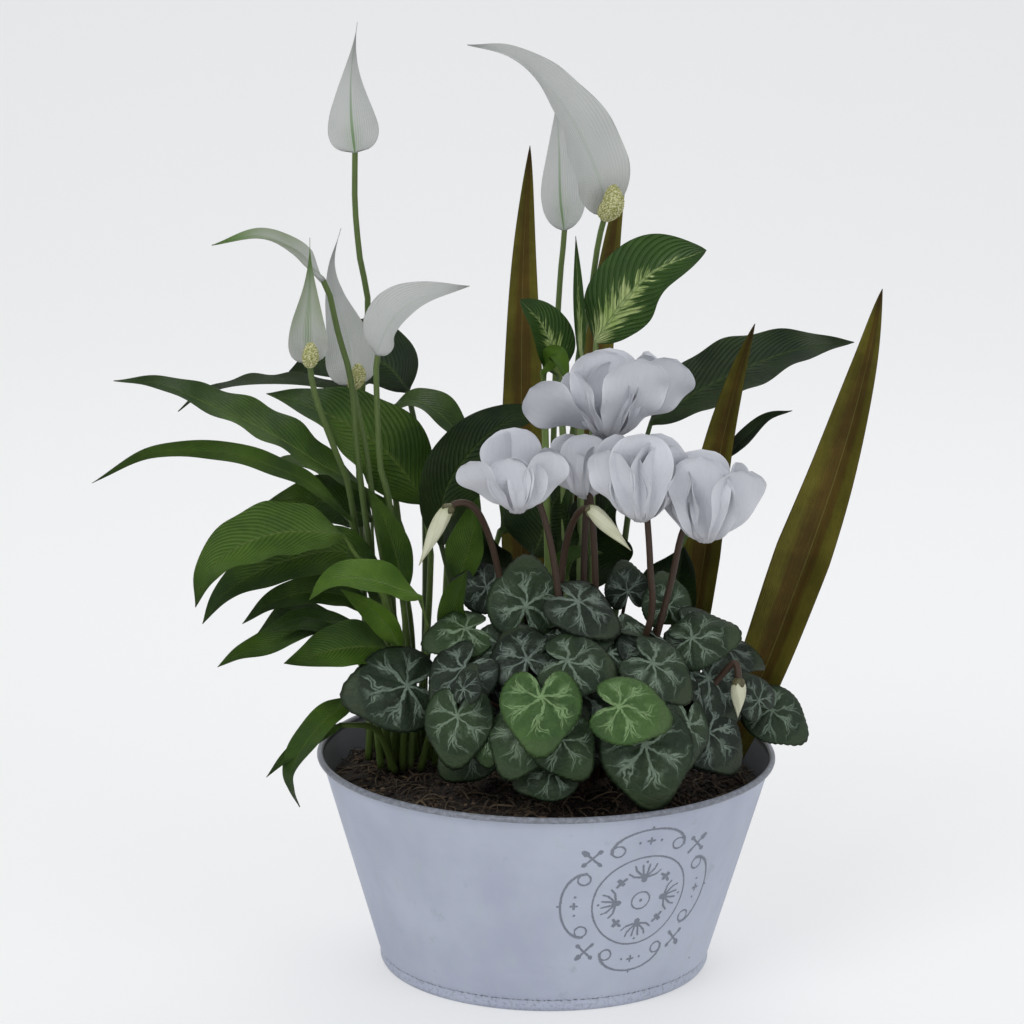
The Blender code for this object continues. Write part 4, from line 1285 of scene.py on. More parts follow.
# Streaked dieffenbachia. Two broad leaves in the middle, cream-yellow between the side
# veins and green at the edge, on pale stalks.
STREAKED_LEAVES = {
    "streaked_leaf_large": (
        [(26, 30, 1), (24, 28, 110), (24, 24, 215)],
        [(25, 20, 240), (39, 14, 264), (56, 8, 283), (84, 4, 294)],
        44,
        ((-0.3, -0.9, 0.4), (0.1, -0.7, 0.7)),
    ),
    "streaked_leaf_small": (
        [(12, 26, 1), (10, 24, 100), (7, 20, 200)],
        [(5, 16, 222), (1, 12, 240), (-6, 8, 254), (-17, 2, 266)],
        26,
        ((0.4, -0.9, 0.3), (0.4, -0.8, 0.5)),
    ),
}


def oval(t):
    return math.sin(math.pi * t**0.85) ** 0.75


def streaked_finish():
    leaf = Finish("streaked_green")
    place = leaf.place()
    across, along, _ = leaf.parts(leaf.map_place())
    reach = abs(across * 2 - 1)
    under = leaf.attribute("underside")
    line = (along - reach * 0.30 - reach * reach * 0.10) * 15
    warp = leaf.noise(place, 70, 3)
    side = across.math("GREATER_THAN", 0.5)
    streaks = leaf.noise(leaf.vector(line * 1.6 + warp * 1.2, reach * 1.3, side * 7.3), 1.0, 4, 0.65)
    splash = (streaks + (0.40 - reach) * 0.42 + (0.34 - along) * 0.40).between(0.50, 0.62)
    vein = abs(line.math("FRACT") - 0.5) * 2
    green = leaf.mix(warp, (0.014, 0.042, 0.006), (0.045, 0.100, 0.014))
    pale = leaf.mix(warp.between(0.3, 0.7), (0.22, 0.33, 0.07), (0.44, 0.52, 0.22))
    colour = leaf.mix(splash * reach.between(0.97, 0.80), green, pale)
    colour = leaf.mix(vein.between(0.86, 1.0) * 0.5, colour, (0.03, 0.11, 0.02))
    midrib = reach.between(0.07, 0.02)
    stalk = along.between(0.02, -0.02)
    colour = leaf.mix((midrib * 0.7).math("MAXIMUM", stalk), colour, (0.24, 0.33, 0.12))
    colour = leaf.mix(under * 0.3, colour, (0.12, 0.20, 0.06))
    height = (1 - vein.between(0.5, 1.0)) * 0.8 - midrib * (1 - under) * 0.8 + warp * 0.2
    return leaf.finish(colour, 0.42, height, 0.0009, Specular_IOR_Level=0.3)


streaked_look = {
    "stalk": 0.0019, "thick": 0.0007, "fold": 0.20, "cup": 0.20,
    "wave": 0.09, "ripple": 0.05, "rings": 52,
}
streaked_green = streaked_finish()
for name, (stalk, blade, width, faces) in STREAKED_LEAVES.items():
    make_leaf(name, stalk, blade, width, oval, faces, streaked_look, streaked_green, "streaked_leaf", (name,))
sheath_path = ([(17, 24, 1), (18, 22, 110), (17, 18, 200)], [(17, 14, 228), (15, 12, 262), (13, 10, 300)], 8)
sheath_faces = ((0.4, -0.9, 0.1), (0.4, -0.9, 0.1))
make_leaf(
    "streaked_sheath", *sheath_path, lance, sheath_faces, streaked_look, streaked_green, "streaked_leaf"
)
thin_leaf = ([(2, 24, 1), (0, 20, 110), (-3, 14, 208)], [(-4, 10, 224), (3, 4, 236), (10, -2, 220)], 13)
thin_faces = (UPWARD, (0.5, -0.8, 0.2))
make_leaf(
    "streaked_hanging", *thin_leaf, lance, thin_faces, streaked_look, bright_green, "streaked_leaf"
)

# Sword-leaved flax. Stiff leaves folded along the middle into a V, bronze down the
# centre and olive at the edges, with fine lengthwise ribs and a thin dark margin.
SWORD_LEAVES = {
    "sword_leaf_tall": (
        [(-13, 82, 1), (-15, 90, 100), (-16, 96, 190), (-16, 104, 271), (-13, 112, 336)],
        31,
    ),
    "sword_leaf_behind": (
        [(8, 92, 1), (16, 98, 97), (24, 106, 202), (34, 113, 282), (42, 118, 325)],
        32,
    ),
    "sword_leaf_short": (
        [(74, 62, 1), (84, 60, 80), (94, 52, 163), (104, 44, 214), (113, 36, 248)],
        31,
    ),
    "sword_leaf_right": (
        [(99, 18, 1), (118, 20, 45), (136, 22, 96), (158, 22, 165), (173, 18, 226), (181, 14, 272)],
        40,
    ),
}
SWORD_FACES = {
    "sword_leaf_tall": ((0.2, -1, 0), (0.2, -1, 0)),
    "sword_leaf_behind": ((0.4, -1, 0), (0.6, -1, 0)),
    "sword_leaf_short": ((-0.6, -1, 0.2), (-0.6, -1, 0.2)),
    "sword_leaf_right": ((-0.5, -1, 0.3), (-0.6, -1, 0.2)),
}


def sword(t):
    return min(1.0, 0.55 + 1.0 * t) * (1 - t**2.2) ** 0.8


def sword_finish():
    leaf = Finish("bronze_sword")
    place = leaf.place()
    across, along, _ = leaf.parts(leaf.map_place())
    reach = abs(across * 2 - 1)
    under = leaf.attribute("underside")
    fibres = leaf.noise(leaf.vector(across * 55, along * 3.0), 1.0, 5, 0.7)
    bands = leaf.noise(leaf.vector(across * 7, along * 1.6), 1.0, 3, 0.6)
    ribs = abs((across * 30).math("FRACT") - 0.5) * 2
    blotch = leaf.noise(place, 30, 4, 0.65)
    olive = leaf.mix(blotch.between(0.35, 0.7), (0.078, 0.070, 0.007), (0.140, 0.122, 0.016))
    bronze = leaf.mix(blotch.between(0.3, 0.7), (0.060, 0.038, 0.006), (0.105, 0.066, 0.011))
    middle = (reach + (bands - 0.5) * 0.9 + (blotch - 0.5) * 0.3).between(0.62, 0.30)
    colour = leaf.mix(middle, olive, bronze)
    colour = leaf.mix(fibres.between(0.45, 0.75) * 0.25, colour, (0.15, 0.13, 0.03))
    colour = leaf.mix(fibres.between(0.5, 0.25) * 0.3, colour, (0.035, 0.026, 0.007))
    green_top = along.between(0.15, 0.9) * 0.35
    colour = leaf.mix(green_top * under, colour, (0.05, 0.07, 0.02))
    margin = reach.between(0.955, 0.985)
    colour = leaf.mix(margin * 0.7, colour, (0.045, 0.022, 0.010))
    crease = reach.between(0.035, 0.0)
    colour = leaf.mix(crease * 0.4, colour, (0.24, 0.23, 0.06))
    tip = along.between(0.93, 1.0)
    colour = leaf.mix(tip * 0.7, colour, (0.05, 0.025, 0.012))
    height = fibres * 0.5 + ribs * 0.35 - crease * 0.7
    return leaf.finish(colour, 0.46 + fibres * 0.1, height, 0.0005, Specular_IOR_Level=0.16)


sword_look = {
    "stalk": 0.0008, "thick": 0.0011, "fold": 0.62, "cup": -0.10,
    "wave": 0.015, "ripple": 0.09, "rings": 70,
}
bronze_sword = sword_finish()
for name, (blade, width) in SWORD_LEAVES.items():
    faces = SWORD_FACES[name]
    make_leaf(name, None, blade, width, sword, faces, sword_look, bronze_sword, "sword_leaf", (name,))

# Cyclamen leaves. Thick heart-shaped blades with a finely toothed edge, each on a red-brown
# stalk from the tuber; dark green marbled with silver along forked veins, with painted light: leaves that
# face the light are painted paler and brighter, shaded ones darker.
CYCLAMEN_LEAVES = {
    "cyclamen_leaf_01": ((-33, -14, 108), (-58, -12, 114), 28, (-0.2, -0.8, 0.6)),
    "cyclamen_leaf_02": ((-12, -42, 105), (-10, -31, 133), 40, (0.1, -1, 0.35)),
    "cyclamen_leaf_03": ((16, -50, 110), (51, -62, 93), 38, (0.4, -0.6, 0.75)),
    "cyclamen_leaf_04": ((-44, -42, 92), (-74, -50, 88), 34, (-0.1, -0.55, 0.85)),
    "cyclamen_leaf_05": ((-76, -47, 61), (-115, -64, 61), 48, (-0.3, -0.85, 0.45)),
    "cyclamen_leaf_06": ((-45, -66, 76), (-69, -78, 50), 38, (-0.4, -0.8, 0.5)),
    "cyclamen_leaf_07": ((-48, -81, 54), (-51, -91, 31), 38, (-0.3, -0.85, 0.4)),
    "cyclamen_leaf_08": ((-11, -65, 81), (-18, -49, 97), 38, (0, -0.8, 0.6)),
    "cyclamen_leaf_09": ((11, -78, 84), (44, -84, 80), 38, (0, -0.75, 0.7)),
    "cyclamen_leaf_10": ((-3, -98, 70), (-3, -112, 52), 42, (0, -0.8, 0.6)),
    "cyclamen_leaf_11": ((39, -102, 66), (68, -107, 62), 38, (0.05, -0.8, 0.6)),
    "cyclamen_leaf_12": ((53, -96, 44), (58, -110, 12), 48, (0, -0.93, 0.35)),
    "cyclamen_leaf_13": ((57, -72, 82), (89, -78, 62), 38, (0.2, -0.65, 0.75)),
    "cyclamen_leaf_14": ((76, -78, 50), (76, -94, 19), 36, (0.65, -0.75, 0.2)),
    "cyclamen_leaf_15": ((-11, -91, 50), (-22, -105, 29), 38, (-0.2, -0.85, 0.4)),
    "cyclamen_leaf_16": ((4, -92, 27), (-24, -100, 20), 30, (-0.2, -0.85, 0.5)),
    "cyclamen_leaf_17": ((79, -41, 88), (104, -44, 95), 35, (0.2, -0.65, 0.75)),
    "cyclamen_leaf_18": ((124, -20, 42), (150, -30, 26), 34, (0.3, -0.8, 0.55)),
}
EXTRA_LEAVES = {
    "low_left": ((-32, -85, 45), (-32, -92, 26), 24, (-0.2, -0.9, 0.3)),
    "low_front": ((8, -99, 47), (24, -106, 25), 34, (0.1, -0.9, 0.35)),
    "mid_front": ((5, -90, 49), (23, -87, 63), 28, (0.1, -0.8, 0.6)),
    "rear_stand": ((44, -11, 106), (41, -6, 127), 24, (0.1, -0.95, 0.2)),
    "rear_stand_right": ((66, -20, 100), (63, -14, 122), 27, (0.2, -0.95, 0.2)),
    "folded_right": ((116, -40, 53), (101, -41, 79), 24, (0.5, -0.8, 0.3)),
    "folded_left": ((-44, -84, 70), (-42, -78, 86), 20, (-0.7, -0.7, 0.2)),
    "left_fill": ((-34, -52, 62), (-52, -58, 46), 40, (-0.5, -0.7, 0.5)),
    "left_fill_high": ((-24, -50, 84), (-44, -54, 78), 34, (-0.3, -0.75, 0.6)),
    "left_fill_low": ((-40, -66, 34), (-58, -66, 18), 36, (-0.5, -0.8, 0.3)),
    "right_fill": ((88, -44, 66), (104, -48, 50), 38, (0.4, -0.8, 0.45)),
    "right_fill_high": ((80, -30, 88), (98, -32, 76), 34, (0.3, -0.75, 0.6)),
    "right_fill_low": ((88, -58, 40), (104, -60, 24), 38, (0.5, -0.8, 0.3)),
    "middle_fill": ((28, -72, 62), (32, -82, 40), 42, (0, -0.9, 0.4)),
    "right_edge": ((98, -18, 76), (122, -14, 72), 34, (0.6, -0.3, 0.75)),
}
# Share of painted light on each leaf: listed leaves that face the light get a paler, brighter ground and
# silver; the rest take a low random share and stay dark.
BRIGHT_LEAVES = {
    "cyclamen_leaf_10": 1.0, "cyclamen_leaf_11": 1.0, "cyclamen_leaf_04": 0.45, "cyclamen_leaf_12": 0.2,
    "cyclamen_leaf_15": 0.3, "cyclamen_leaf_07": 0.25, "low_left": 0.5, "low_front": 0.3,
}
MAP_REACH = 0.36  # half-width of a blade on its map
TEETH = 19
TOOTH = 0.028
FOOT_LIFT = 5


def heart_outline(angle):
    """Distance from the stalk to a heart-shaped leaf's edge over its half-width; the tip is at angle 0."""
    tip = 0.34 * math.exp(-((angle / 0.42) ** 2))
    notch = 0.72 * math.exp(-(((math.pi - abs(angle)) / 0.36) ** 2))
    return 0.96 + 0.06 * math.cos(angle) + tip - notch


def heart_leaf(name, joint, tip, width, face, stands_for=()):
    """The blade as a closed polar mesh; returns the line of its stalk."""
    sides, rings, under_rings = 112, 14, 7
    joint, tip = Vector(joint) * MM, Vector(tip) * MM
    along = (tip - joint).normalized()
    side = along.cross(Vector(face)).normalized()
    out = side.cross(along)
    half = width * MM * 0.54
    chance = random.Random(name)
    phase = chance.uniform(0, 6.28)
    lobes = chance.choice((3, 4, 5))
    curl = chance.uniform(0.02, 0.07)
    turn_pattern = chance.uniform(-0.12, 0.12)
    bright = BRIGHT_LEAVES.get(name, chance.choice((0.0, 0.0, 0.05, 0.1, 0.18)))

    def place(angle, share, lift):
        teeth = 1 + TOOTH * abs(math.sin(TEETH * angle + phase)) * share**8
        reach = half * heart_outline(angle) * share * teeth
        rel = reach / half
        droop = 0.22 * reach * rel
        rel_wave = curl * half * rel**2.2 * math.sin(lobes * angle + phase)
        pucker = 0.018 * half * math.sin(9 * angle) * math.sin(math.pi * min(rel, 1.0))
        spot = joint + along * (reach * math.cos(angle)) + side * (reach * math.sin(angle))
        return planted(spot + out * (lift - droop + rel_wave + pucker))

    points = [planted(joint + out * 0.0004)]
    places = [(0.5, 0.5)]
    masks = [0.0]
    levels = [(ring / rings, 0.0004 * (1 - (ring / rings) ** 6), 0.0) for ring in range(1, rings + 1)]
    levels += [(1 - ring / under_rings, -0.0004, 1.0) for ring in range(1, under_rings)]
    for share, lift, mask in levels:
        for step in range(sides):
            angle = 2 * math.pi * step / sides - math.pi
            points.append(place(angle, share, lift))
            rel = heart_outline(angle) * share
            places.append((
                0.5 + MAP_REACH * rel * math.cos(angle + turn_pattern),
                0.5 + MAP_REACH * rel * math.sin(angle + turn_pattern),
            ))
            masks.append(mask)
    points.append(planted(joint - out * 0.0006))
    places.append((0.5, 0.5))
    masks.append(1.0)
    faces = []
    for step in range(sides):
        after = (step + 1) % sides
        faces.append((0, 1 + step, 1 + after))
        for ring in range(len(levels) - 1):
            first, second = 1 + ring * sides, 1 + (ring + 1) * sides
            faces.append((first + step, second + step, second + after, first + after))
        last = 1 + (len(levels) - 1) * sides
        faces.append((last + step, len(points) - 1, last + after))
    made = add_piece(name + "_heart", points, faces, marbled, stands_for, places, masks)
    tints = made.data.attributes.new("bright", "FLOAT", "POINT")
    tints.data.foreach_set("value", [bright] * len(points))

    outward = joint - TUBER_PLACE
    height = outward.z
    outward.z = 0
    low = 1 - height / (height + outward.length)
    foot = TUBER_PLACE + outward.normalized() * (6.5 + 11 * low) * MM + UP * FOOT_LIFT * MM
    reach = (joint - foot).length
    arrive = joint - (out * 0.8 + along * 0.2).normalized() * reach * 0.35
    rise = foot + (UP * 0.8 + outward.normalized() * 0.4 * low) * reach * 0.4
    line = []
    for step in range(22):
        t = step / 21
        near = foot * (1 - t) ** 3 + rise * (3 * t * (1 - t) ** 2)
        spot = near + arrive * (3 * t * t * (1 - t)) + joint * t**3
        line.append((planted(spot), 0.0013 - 0.0004 * t))
    return line


def marbled_finish():
    """Dark green blade with silver forked veins and hazy silver patches between them."""
    leaf = Finish("marbled_cyclamen")
    place = leaf.place()
    u, v, _ = leaf.parts(leaf.map_place())
    under = leaf.attribute("underside")
    bright = leaf.attribute("bright")
    x = (u - 0.5) / MAP_REACH
    y = (v - 0.5) / MAP_REACH
    wander = leaf.noise(place, 110, 3, 0.65) - 0.5
    drift = leaf.noise(leaf.vector(u * 2, v * 2, bright * 9), 3, 2) - 0.5
    x = x + wander * 0.22 + drift * 0.16
    y = y + leaf.noise(place, 90, 3, 0.65) * 0.22 - 0.11 + drift * 0.20
    reach = (x * x + y * y) ** 0.5
    angle = y.math("ARCTAN2", x)
    count = 7
    bent = angle + reach * angle * -0.10 + drift * 0.5
    turn = bent * (count / (2 * math.pi)) + 0.5
    off = turn.math("FRACT") - 0.5
    aside = abs(off)
    step = reach * (2 * math.pi / count)
    thick = 0.038 - reach * 0.018
    wide = reach * (1.06 - angle.math("COSINE") * 0.14)
    broken = leaf.noise(leaf.vector(u * 3, v * 3, bright * 7), 4, 3, 0.6).between(0.30, 0.52)

    def line(off, width):
        return (width - abs(off) * step).between(-0.014, 0.012)

    def fork(slope, start, end, share):
        """One arm of a Y that leaves a main vein at start and fades towards end."""
        arm = line(off - (wide - start) * slope, thick * share)
        return arm * wide.between(start, start + 0.03) * wide.between(end, end - 0.26)

    main = line(off, thick) * wide.between(0.94, 0.60) * (broken * 0.35 + 0.65)
    fork_a = fork(0.55, 0.26, 0.84, 0.85).math("MAXIMUM", fork(-0.55, 0.38, 0.90, 0.8))
    fork_b = fork(0.9, 0.52, 0.98, 0.6).math("MAXIMUM", fork(-0.95, 0.62, 1.0, 0.6))
    arms = fork_a.math("MAXIMUM", fork_b) * (broken * 0.5 + 0.5)
    values = {"Vector": leaf.vector(x, y), "Scale": 6.5}
    cells = leaf.node("ShaderNodeTexVoronoi", {"feature": "DISTANCE_TO_EDGE"}, values)
    net = cells.between(0.045, 0.01) * reach.between(0.25, 0.4)
    haze = leaf.noise(place, 95, 4, 0.7)
    patch = haze.between(0.50, 0.60) * reach.between(0.22, 0.36)
    patch = patch * reach.between(0.84, 0.62) * aside.between(0.5, 0.10)
    silver = main.math("MAXIMUM", arms)
    silver = silver.math("MAXIMUM", net * 0.10 * haze.between(0.4, 0.6)).math("MAXIMUM", patch * 0.55)
    silver = silver * (0.55 + haze * 0.6)
    mottle = leaf.noise(place, 45, 4, 0.6)
    # Painted light: the bright share moves the ground from the dark green of shaded leaves to the paler green
    # of lit ones, and the silver likewise below.
    dark = leaf.mix(mottle.between(0.3, 0.7), (0.005, 0.010, 0.006), (0.016, 0.028, 0.015))
    paler_green = leaf.mix(mottle.between(0.3, 0.7), (0.024, 0.062, 0.012), (0.056, 0.118, 0.026))
    ground = leaf.mix(bright, dark, paler_green)
    fine = leaf.noise(place, 700, 3, 0.6)
    ground = leaf.mix(fine.between(0.45, 0.7) * 0.12, ground, (0.035, 0.055, 0.035))
    pale = leaf.mix(bright, (0.19, 0.245, 0.20), (0.21, 0.32, 0.14))
    colour = leaf.mix((silver * (1 - under)).clamped() * 0.9, ground, pale)
    rim = reach.between(0.97, 1.06)
    colour = leaf.mix(under, colour, leaf.mix(mottle, (0.030, 0.036, 0.018), (0.060, 0.050, 0.034)))
    colour = leaf.mix(main * under * 0.5, colour, (0.14, 0.10, 0.07))
    colour = leaf.mix(rim * 0.3, colour, (0.06, 0.08, 0.04))
    relief = (1 - main) * 0.5 + (1 - arms) * 0.25 + (1 - cells.between(0.09, 0.0)) * 0.15 + fine * 0.12
    return leaf.finish(colour, 0.46 + fine * 0.12 + silver * 0.08, relief, 0.0011, Specular_IOR_Level=0.25)


marbled = marbled_finish()
stalk_lines = []
for name, (joint, tip, width, face) in CYCLAMEN_LEAVES.items():
    stalk_lines.append(heart_leaf(name, joint, tip, width, face, (name,)))
for name, (joint, tip, width, face) in EXTRA_LEAVES.items():
    stalk_lines.append(heart_leaf(name, joint, tip, width, face))
DOME_MIDDLE = (26, -32, 30)
DOME_REACH = (66, 50, 66)
DOME_ROWS = ((6, 13, 0.94), (24, 12, 1.0), (44, 9, 1.0), (66, 6, 1.0))  # lift, leaves, spread
dome = random.Random(11)
for lift, count, share in DOME_ROWS:
    for step in range(count):
        turn = 2 * math.pi * (step + dome.uniform(-0.2, 0.2)) / count + lift
        steep = math.radians(lift + dome.uniform(-5, 5))
        out = Vector((math.cos(turn) * math.cos(steep), math.sin(turn) * math.cos(steep), math.sin(steep)))
        down = Vector((math.cos(turn) * math.sin(steep), math.sin(turn) * math.sin(steep), -math.cos(steep)))
        down += out.cross(down) * dome.uniform(-0.6, 0.6)
        spread = (share, share, 1)
        spot = Vector([DOME_MIDDLE[i] + DOME_REACH[i] * out[i] * spread[i] for i in range(3)])
        joint = spot - down * 9
        width = dome.uniform(36, 44)
        face = out * 0.8 + UP * 0.45
        title = f"inner_{lift}_{step}"
        stalk_lines.append(heart_leaf(title, joint, joint + down * 30, width, face))
red_stalk = stem_finish("cyclamen_stalk_red", (0.020, 0.010, 0.007), (0.060, 0.034, 0.020))
tubes("cyclamen_leaf_stalks", stalk_lines, 8, red_stalk)

# Cyclamen flowers. Five outer and five inner petals swept up from a nodding nose, thin and
# white with a lilac cast and fine lengthwise veins, on red-brown stems that hook at the top.
CYCLAMEN_FLOWERS = {
    "cyclamen_flower_left": (
        [
            (18, -25, 5), (10, -36, 60), (6, -46, 110), (1, -54, 144),
            (-5, -58, 166), (-11, -58, 178), (-17, -62, 172),
        ],
        (-17, -62, 163),
        [
            (260, 14, 36, 262), (209, 40, 40, 240), (96, 17, 46, 100),
            (328, 22, 40, 290), (20, 30, 34, 325),
        ],
    ),
    "cyclamen_flower_middle": (
        [
            (22, -17, 5), (24, -20, 60), (26, -28, 106), (24, -40, 150),
            (22, -44, 168), (20, -42, 178), (20, -38, 172),
        ],
        (20, -38, 166),
        [
            (265, 8, 40, 265), (200, 30, 34, 240), (130, 20, 36, 130),
            (60, 16, 36, 60), (345, 16, 34, 300),
        ],
    ),
    "cyclamen_flower_front": (
        [
            (27, -27, 5), (44, -36, 60), (56, -44, 100), (55, -52, 130),
            (53, -58, 156), (51, -58, 174), (49, -64, 168),
        ],
        (49, -66, 160),
        [
            (268, 4, 52, 268), (215, 22, 46, 240), (325, 8, 46, 300),
            (140, 16, 48, 140), (50, 12, 48, 50),
        ],
    ),
    "cyclamen_flower_right": (
        [
            (28, -20, 5), (50, -30, 50), (60, -38, 90), (67, -44, 122),
            (72, -52, 150), (80, -54, 164), (82, -60, 156),
        ],
        (84, -62, 148),
        [
            (255, 8, 52, 255), (318, 24, 48, 290), (12, 28, 44, 310),
            (186, 10, 46, 210), (98, 14, 50, 98),
        ],
    ),
    "cyclamen_flower_top": (
        [
            (22, -22, 5), (20, -18, 80), (20, -16, 140), (24, -18, 190),
            (27, -22, 210), (31, -28, 212), (32, -32, 206),
        ],
        (32, -34, 198),
        [
            (190, 58, 50, 250), (255, 10, 54, 265), (300, 30, 58, 285),
            (350, 36, 56, 290), (90, 20, 50, 90),
        ],
    ),
}

PETAL_BREADTH = 0.71


def spoon(t):
    return (0.22 + 0.78 * math.sin(math.pi * min(t * 0.6, 0.5))) * (1 - t**7) ** 0.5


def petal_finish():
    petal = Finish("white_petal")
    place = petal.place()
    across, along, _ = petal.parts(petal.map_place())
    reach = abs(across * 2 - 1)
    cloud = petal.noise(place, 35, 3)
    spread = (across - 0.5) * 30 / (0.45 + along * 0.6)
    veins = petal.noise(petal.vector(spread, along * 2.2), 1.4, 4, 0.7)
    fine = petal.noise(petal.vector(spread * 3, along * 5), 1.4, 3, 0.6)
    colour = petal.mix(cloud, (0.58, 0.59, 0.635), (0.70, 0.71, 0.745))
    colour = petal.mix(veins.between(0.5, 0.75) * 0.35, colour, (0.46, 0.465, 0.53))
    colour = petal.mix(fine.between(0.5, 0.8) * 0.2, colour, (0.72, 0.725, 0.75))
    # Painted shade: darker towards the petal's base.
    base_shade = along.between(0.28, 0.0)
    colour = petal.mix(base_shade * 0.4, colour, (0.40, 0.38, 0.38))
    # Painted highlight: lighter along the petal's edges.
    colour = petal.mix(reach.between(0.9, 1.0) * 0.25, colour, (0.74, 0.74, 0.77))
    height = veins * 0.7 + fine * 0.25 + cloud * 0.3
    return petal.finish(colour, 0.52, height, 0.0006, Specular_IOR_Level=0.25)


def calyx_finish():
    calyx = Finish("calyx_green_brown")
    place = calyx.place()
    spots = calyx.noise(place, 500, 3, 0.6)
    colour = calyx.mix(spots.between(0.35, 0.7), (0.055, 0.050, 0.020), (0.13, 0.12, 0.05))
    return calyx.finish(colour, 0.55, spots, 0.0004)


def nose_body(name, nose):
    """The rounded five-lobed cup that the petals spring from, open side down."""
    points = []
    sides = 40
    outline = [
        (0.2, 10.5), (1.6, 10.2), (3.2, 8.6), (4.0, 5.6), (4.3, 2.4),
        (4.2, 0.4), (3.6, -0.8), (2.4, -1.3), (0.2, -0.9),
    ]
    for radius, level in outline:
        for step in range(sides):
            angle = 2 * math.pi * step / sides
            lobe = 1 + 0.07 * math.cos(5 * angle)
            spot = Vector((math.cos(angle) * radius * lobe, math.sin(angle) * radius * lobe, level)) * MM
            points.append(planted(nose + spot))
    faces = stacked_faces(len(outline), sides)
    places = [(0.5, 0.1)] * len(points)
    add_piece(name + "_nose", points, faces, white_petal, (), places, [0.0] * len(points))


def make_calyx(name, top, down):
    """Five pointed sepals that clasp the flower or bud where its stem joins it."""
    side = down.orthogonal().normalized()
    front = down.cross(side)
    points = []
    sides = 30
    levels = (
        (-0.6, 0.9, 0.0), (0.6, 2.6, 0.0), (2.2, 3.6, 0.2),
        (3.6, 3.9, 1.5), (3.4, 3.4, 1.4), (1.4, 2.6, 0.0),
    )
    for level, radius, spike in levels:
        for step in range(sides):
            angle = 2 * math.pi * step / sides
            point = spike * (abs(math.cos(2.5 * angle)) * 2 - 1)
            spot = top + down * (level + point) * MM
            spot += (side * math.cos(angle) + front * math.sin(angle)) * radius * MM
            points.append(planted(spot))
    faces = stacked_faces(len(levels), sides)
    add_piece(name + "_calyx", points, faces, calyx_green)


def flower(name, stem, nose, petals):
    """Petals in one piece, then nose and calyx; returns the line of the stem."""
    nose = Vector(nose) * MM
    whole = Loft()
    inner = random.Random(name)
    petals = list(petals)
    for compass, lean, length, facing in petals[:]:
        petals.append((
            compass + inner.uniform(25, 45),
            lean * 0.35 + inner.uniform(2, 8),
            length * inner.uniform(0.82, 0.98),
            compass + inner.uniform(-30, 60),
        ))
    for number, (compass, lean, length, facing) in enumerate(petals):
        away = Vector((math.cos(math.radians(compass)), math.sin(math.radians(compass)), 0))
        looks = Vector((math.cos(math.radians(facing)), math.sin(math.radians(facing)), 0))
        tilt = math.radians(lean)
        rise = UP * math.cos(tilt) + away * math.sin(tilt)
        start = nose + away * 3 * MM
        bend = nose + away * 8 * MM + UP * 5 * MM
        end = bend + rise * (length - 8) * MM
        middle = bend.lerp(end, 0.5) + away * 2 * MM
        blade = [spot / MM for spot in (start, bend, middle, end)]
        loft = Loft()
        faces = (away - UP * 0.4, looks)
        add_blade(loft, name + str(number), None, blade, length * PETAL_BREADTH, spoon, faces, petal_look)
        shift = len(whole.points)
        whole.points += loft.points
        whole.places += loft.places
        whole.sides += loft.sides
        whole.faces += [tuple(corner + shift for corner in face) for face in loft.faces]
    title = name + "_petals"
    add_piece(title, whole.points, whole.faces, white_petal, (name,), whole.places, whole.sides)
    nose_body(name, nose)
    make_calyx(name, nose + UP * 11.5 * MM, Vector((0, 0, -1)))
    return stem_line([*stem, (nose + UP * 11 * MM) / MM], 34, 0.0021, 0.0017)


petal_look = {
    "stalk": 0.0012, "thick": 0.0006, "fold": 0.05, "cup": 0.22,
    "wave": 0.10, "ripple": 0.024, "rings": 36,
}
white_petal = petal_finish()
calyx_green = calyx_finish()
flower_stems = [flower(name, *row) for name, row in CYCLAMEN_FLOWERS.items()]

# Cyclamen buds. Pointed cream buds with the petals furled in a spiral, hanging from
# hooked stems with a green-brown calyx.
CYCLAMEN_BUDS = {
    "cyclamen_bud_left": [
        (15, -20, 5), (-8, -24, 60), (-23, -28, 105), (-31, -40, 140), (-39, -53, 161),
        (-48, -58, 166), (-56, -62, 160), (-69, -70, 134),
    ],
    "cyclamen_bud_right": [
        (24, -28, 5), (12, -24, 60), (7, -26, 100), (9, -34, 135), (15, -50, 158),
        (22, -62, 164), (30, -69, 158), (44, -76, 145),
    ],
}
EXTRA_BUD = [
    (28, -28, 5), (62, -38, 30), (86, -42, 56), (95, -44, 68), (102, -47, 76),
    (104, -50, 68), (104, -51, 58), (104, -51, 46),
]


def bud_finish():
    bud = Finish("bud_cream")
    across, along, _ = bud.parts(bud.map_place())
    furl = abs((across * 2 + along * 1.5).math("FRACT") - 0.5) * 2
    cloud = bud.noise(bud.place(), 120, 3)
    colour = bud.mix(cloud, (0.46, 0.46, 0.30), (0.62, 0.62, 0.48))
    colour = bud.mix(furl.between(0.75, 1.0) * 0.4, colour, (0.36, 0.37, 0.20))
    colour = bud.mix(along.between(0.25, 0.0) * 0.6, colour, (0.28, 0.33, 0.12))
    return bud.finish(colour, 0.45, furl * 0.6 + cloud * 0.3, 0.0006, Specular_IOR_Level=0.3)


def make_bud(name, route, stands_for=()):
    """The furled bud over the route's last third; returns the line of the stem."""
    count, start = 80, 66
    path = smooth_path(route, count)
    loft = Loft()
    for index in range(start, count):
        t = (index - start) / (count - 1 - start)
        side, out = frame_at(path, index, Vector((0.3, -1, 0.1)))
        swell = (0.0014 + 0.0028 * math.sin(math.pi * t**0.7) ** 0.9) * (1 - t**3) + 0.0002
        loft.ring(path[index], side, out, swell, t, lambda across, turn: swell * turn)
    loft.close()
    title = name + "_furled"
    add_piece(title, loft.points, loft.faces, bud_cream, stands_for, loft.places, loft.sides)
    down = (path[start + 2] - path[start]).normalized()
    make_calyx(name, path[start], down)
    return [(planted(spot), 0.0019) for spot in path[: start + 1]]


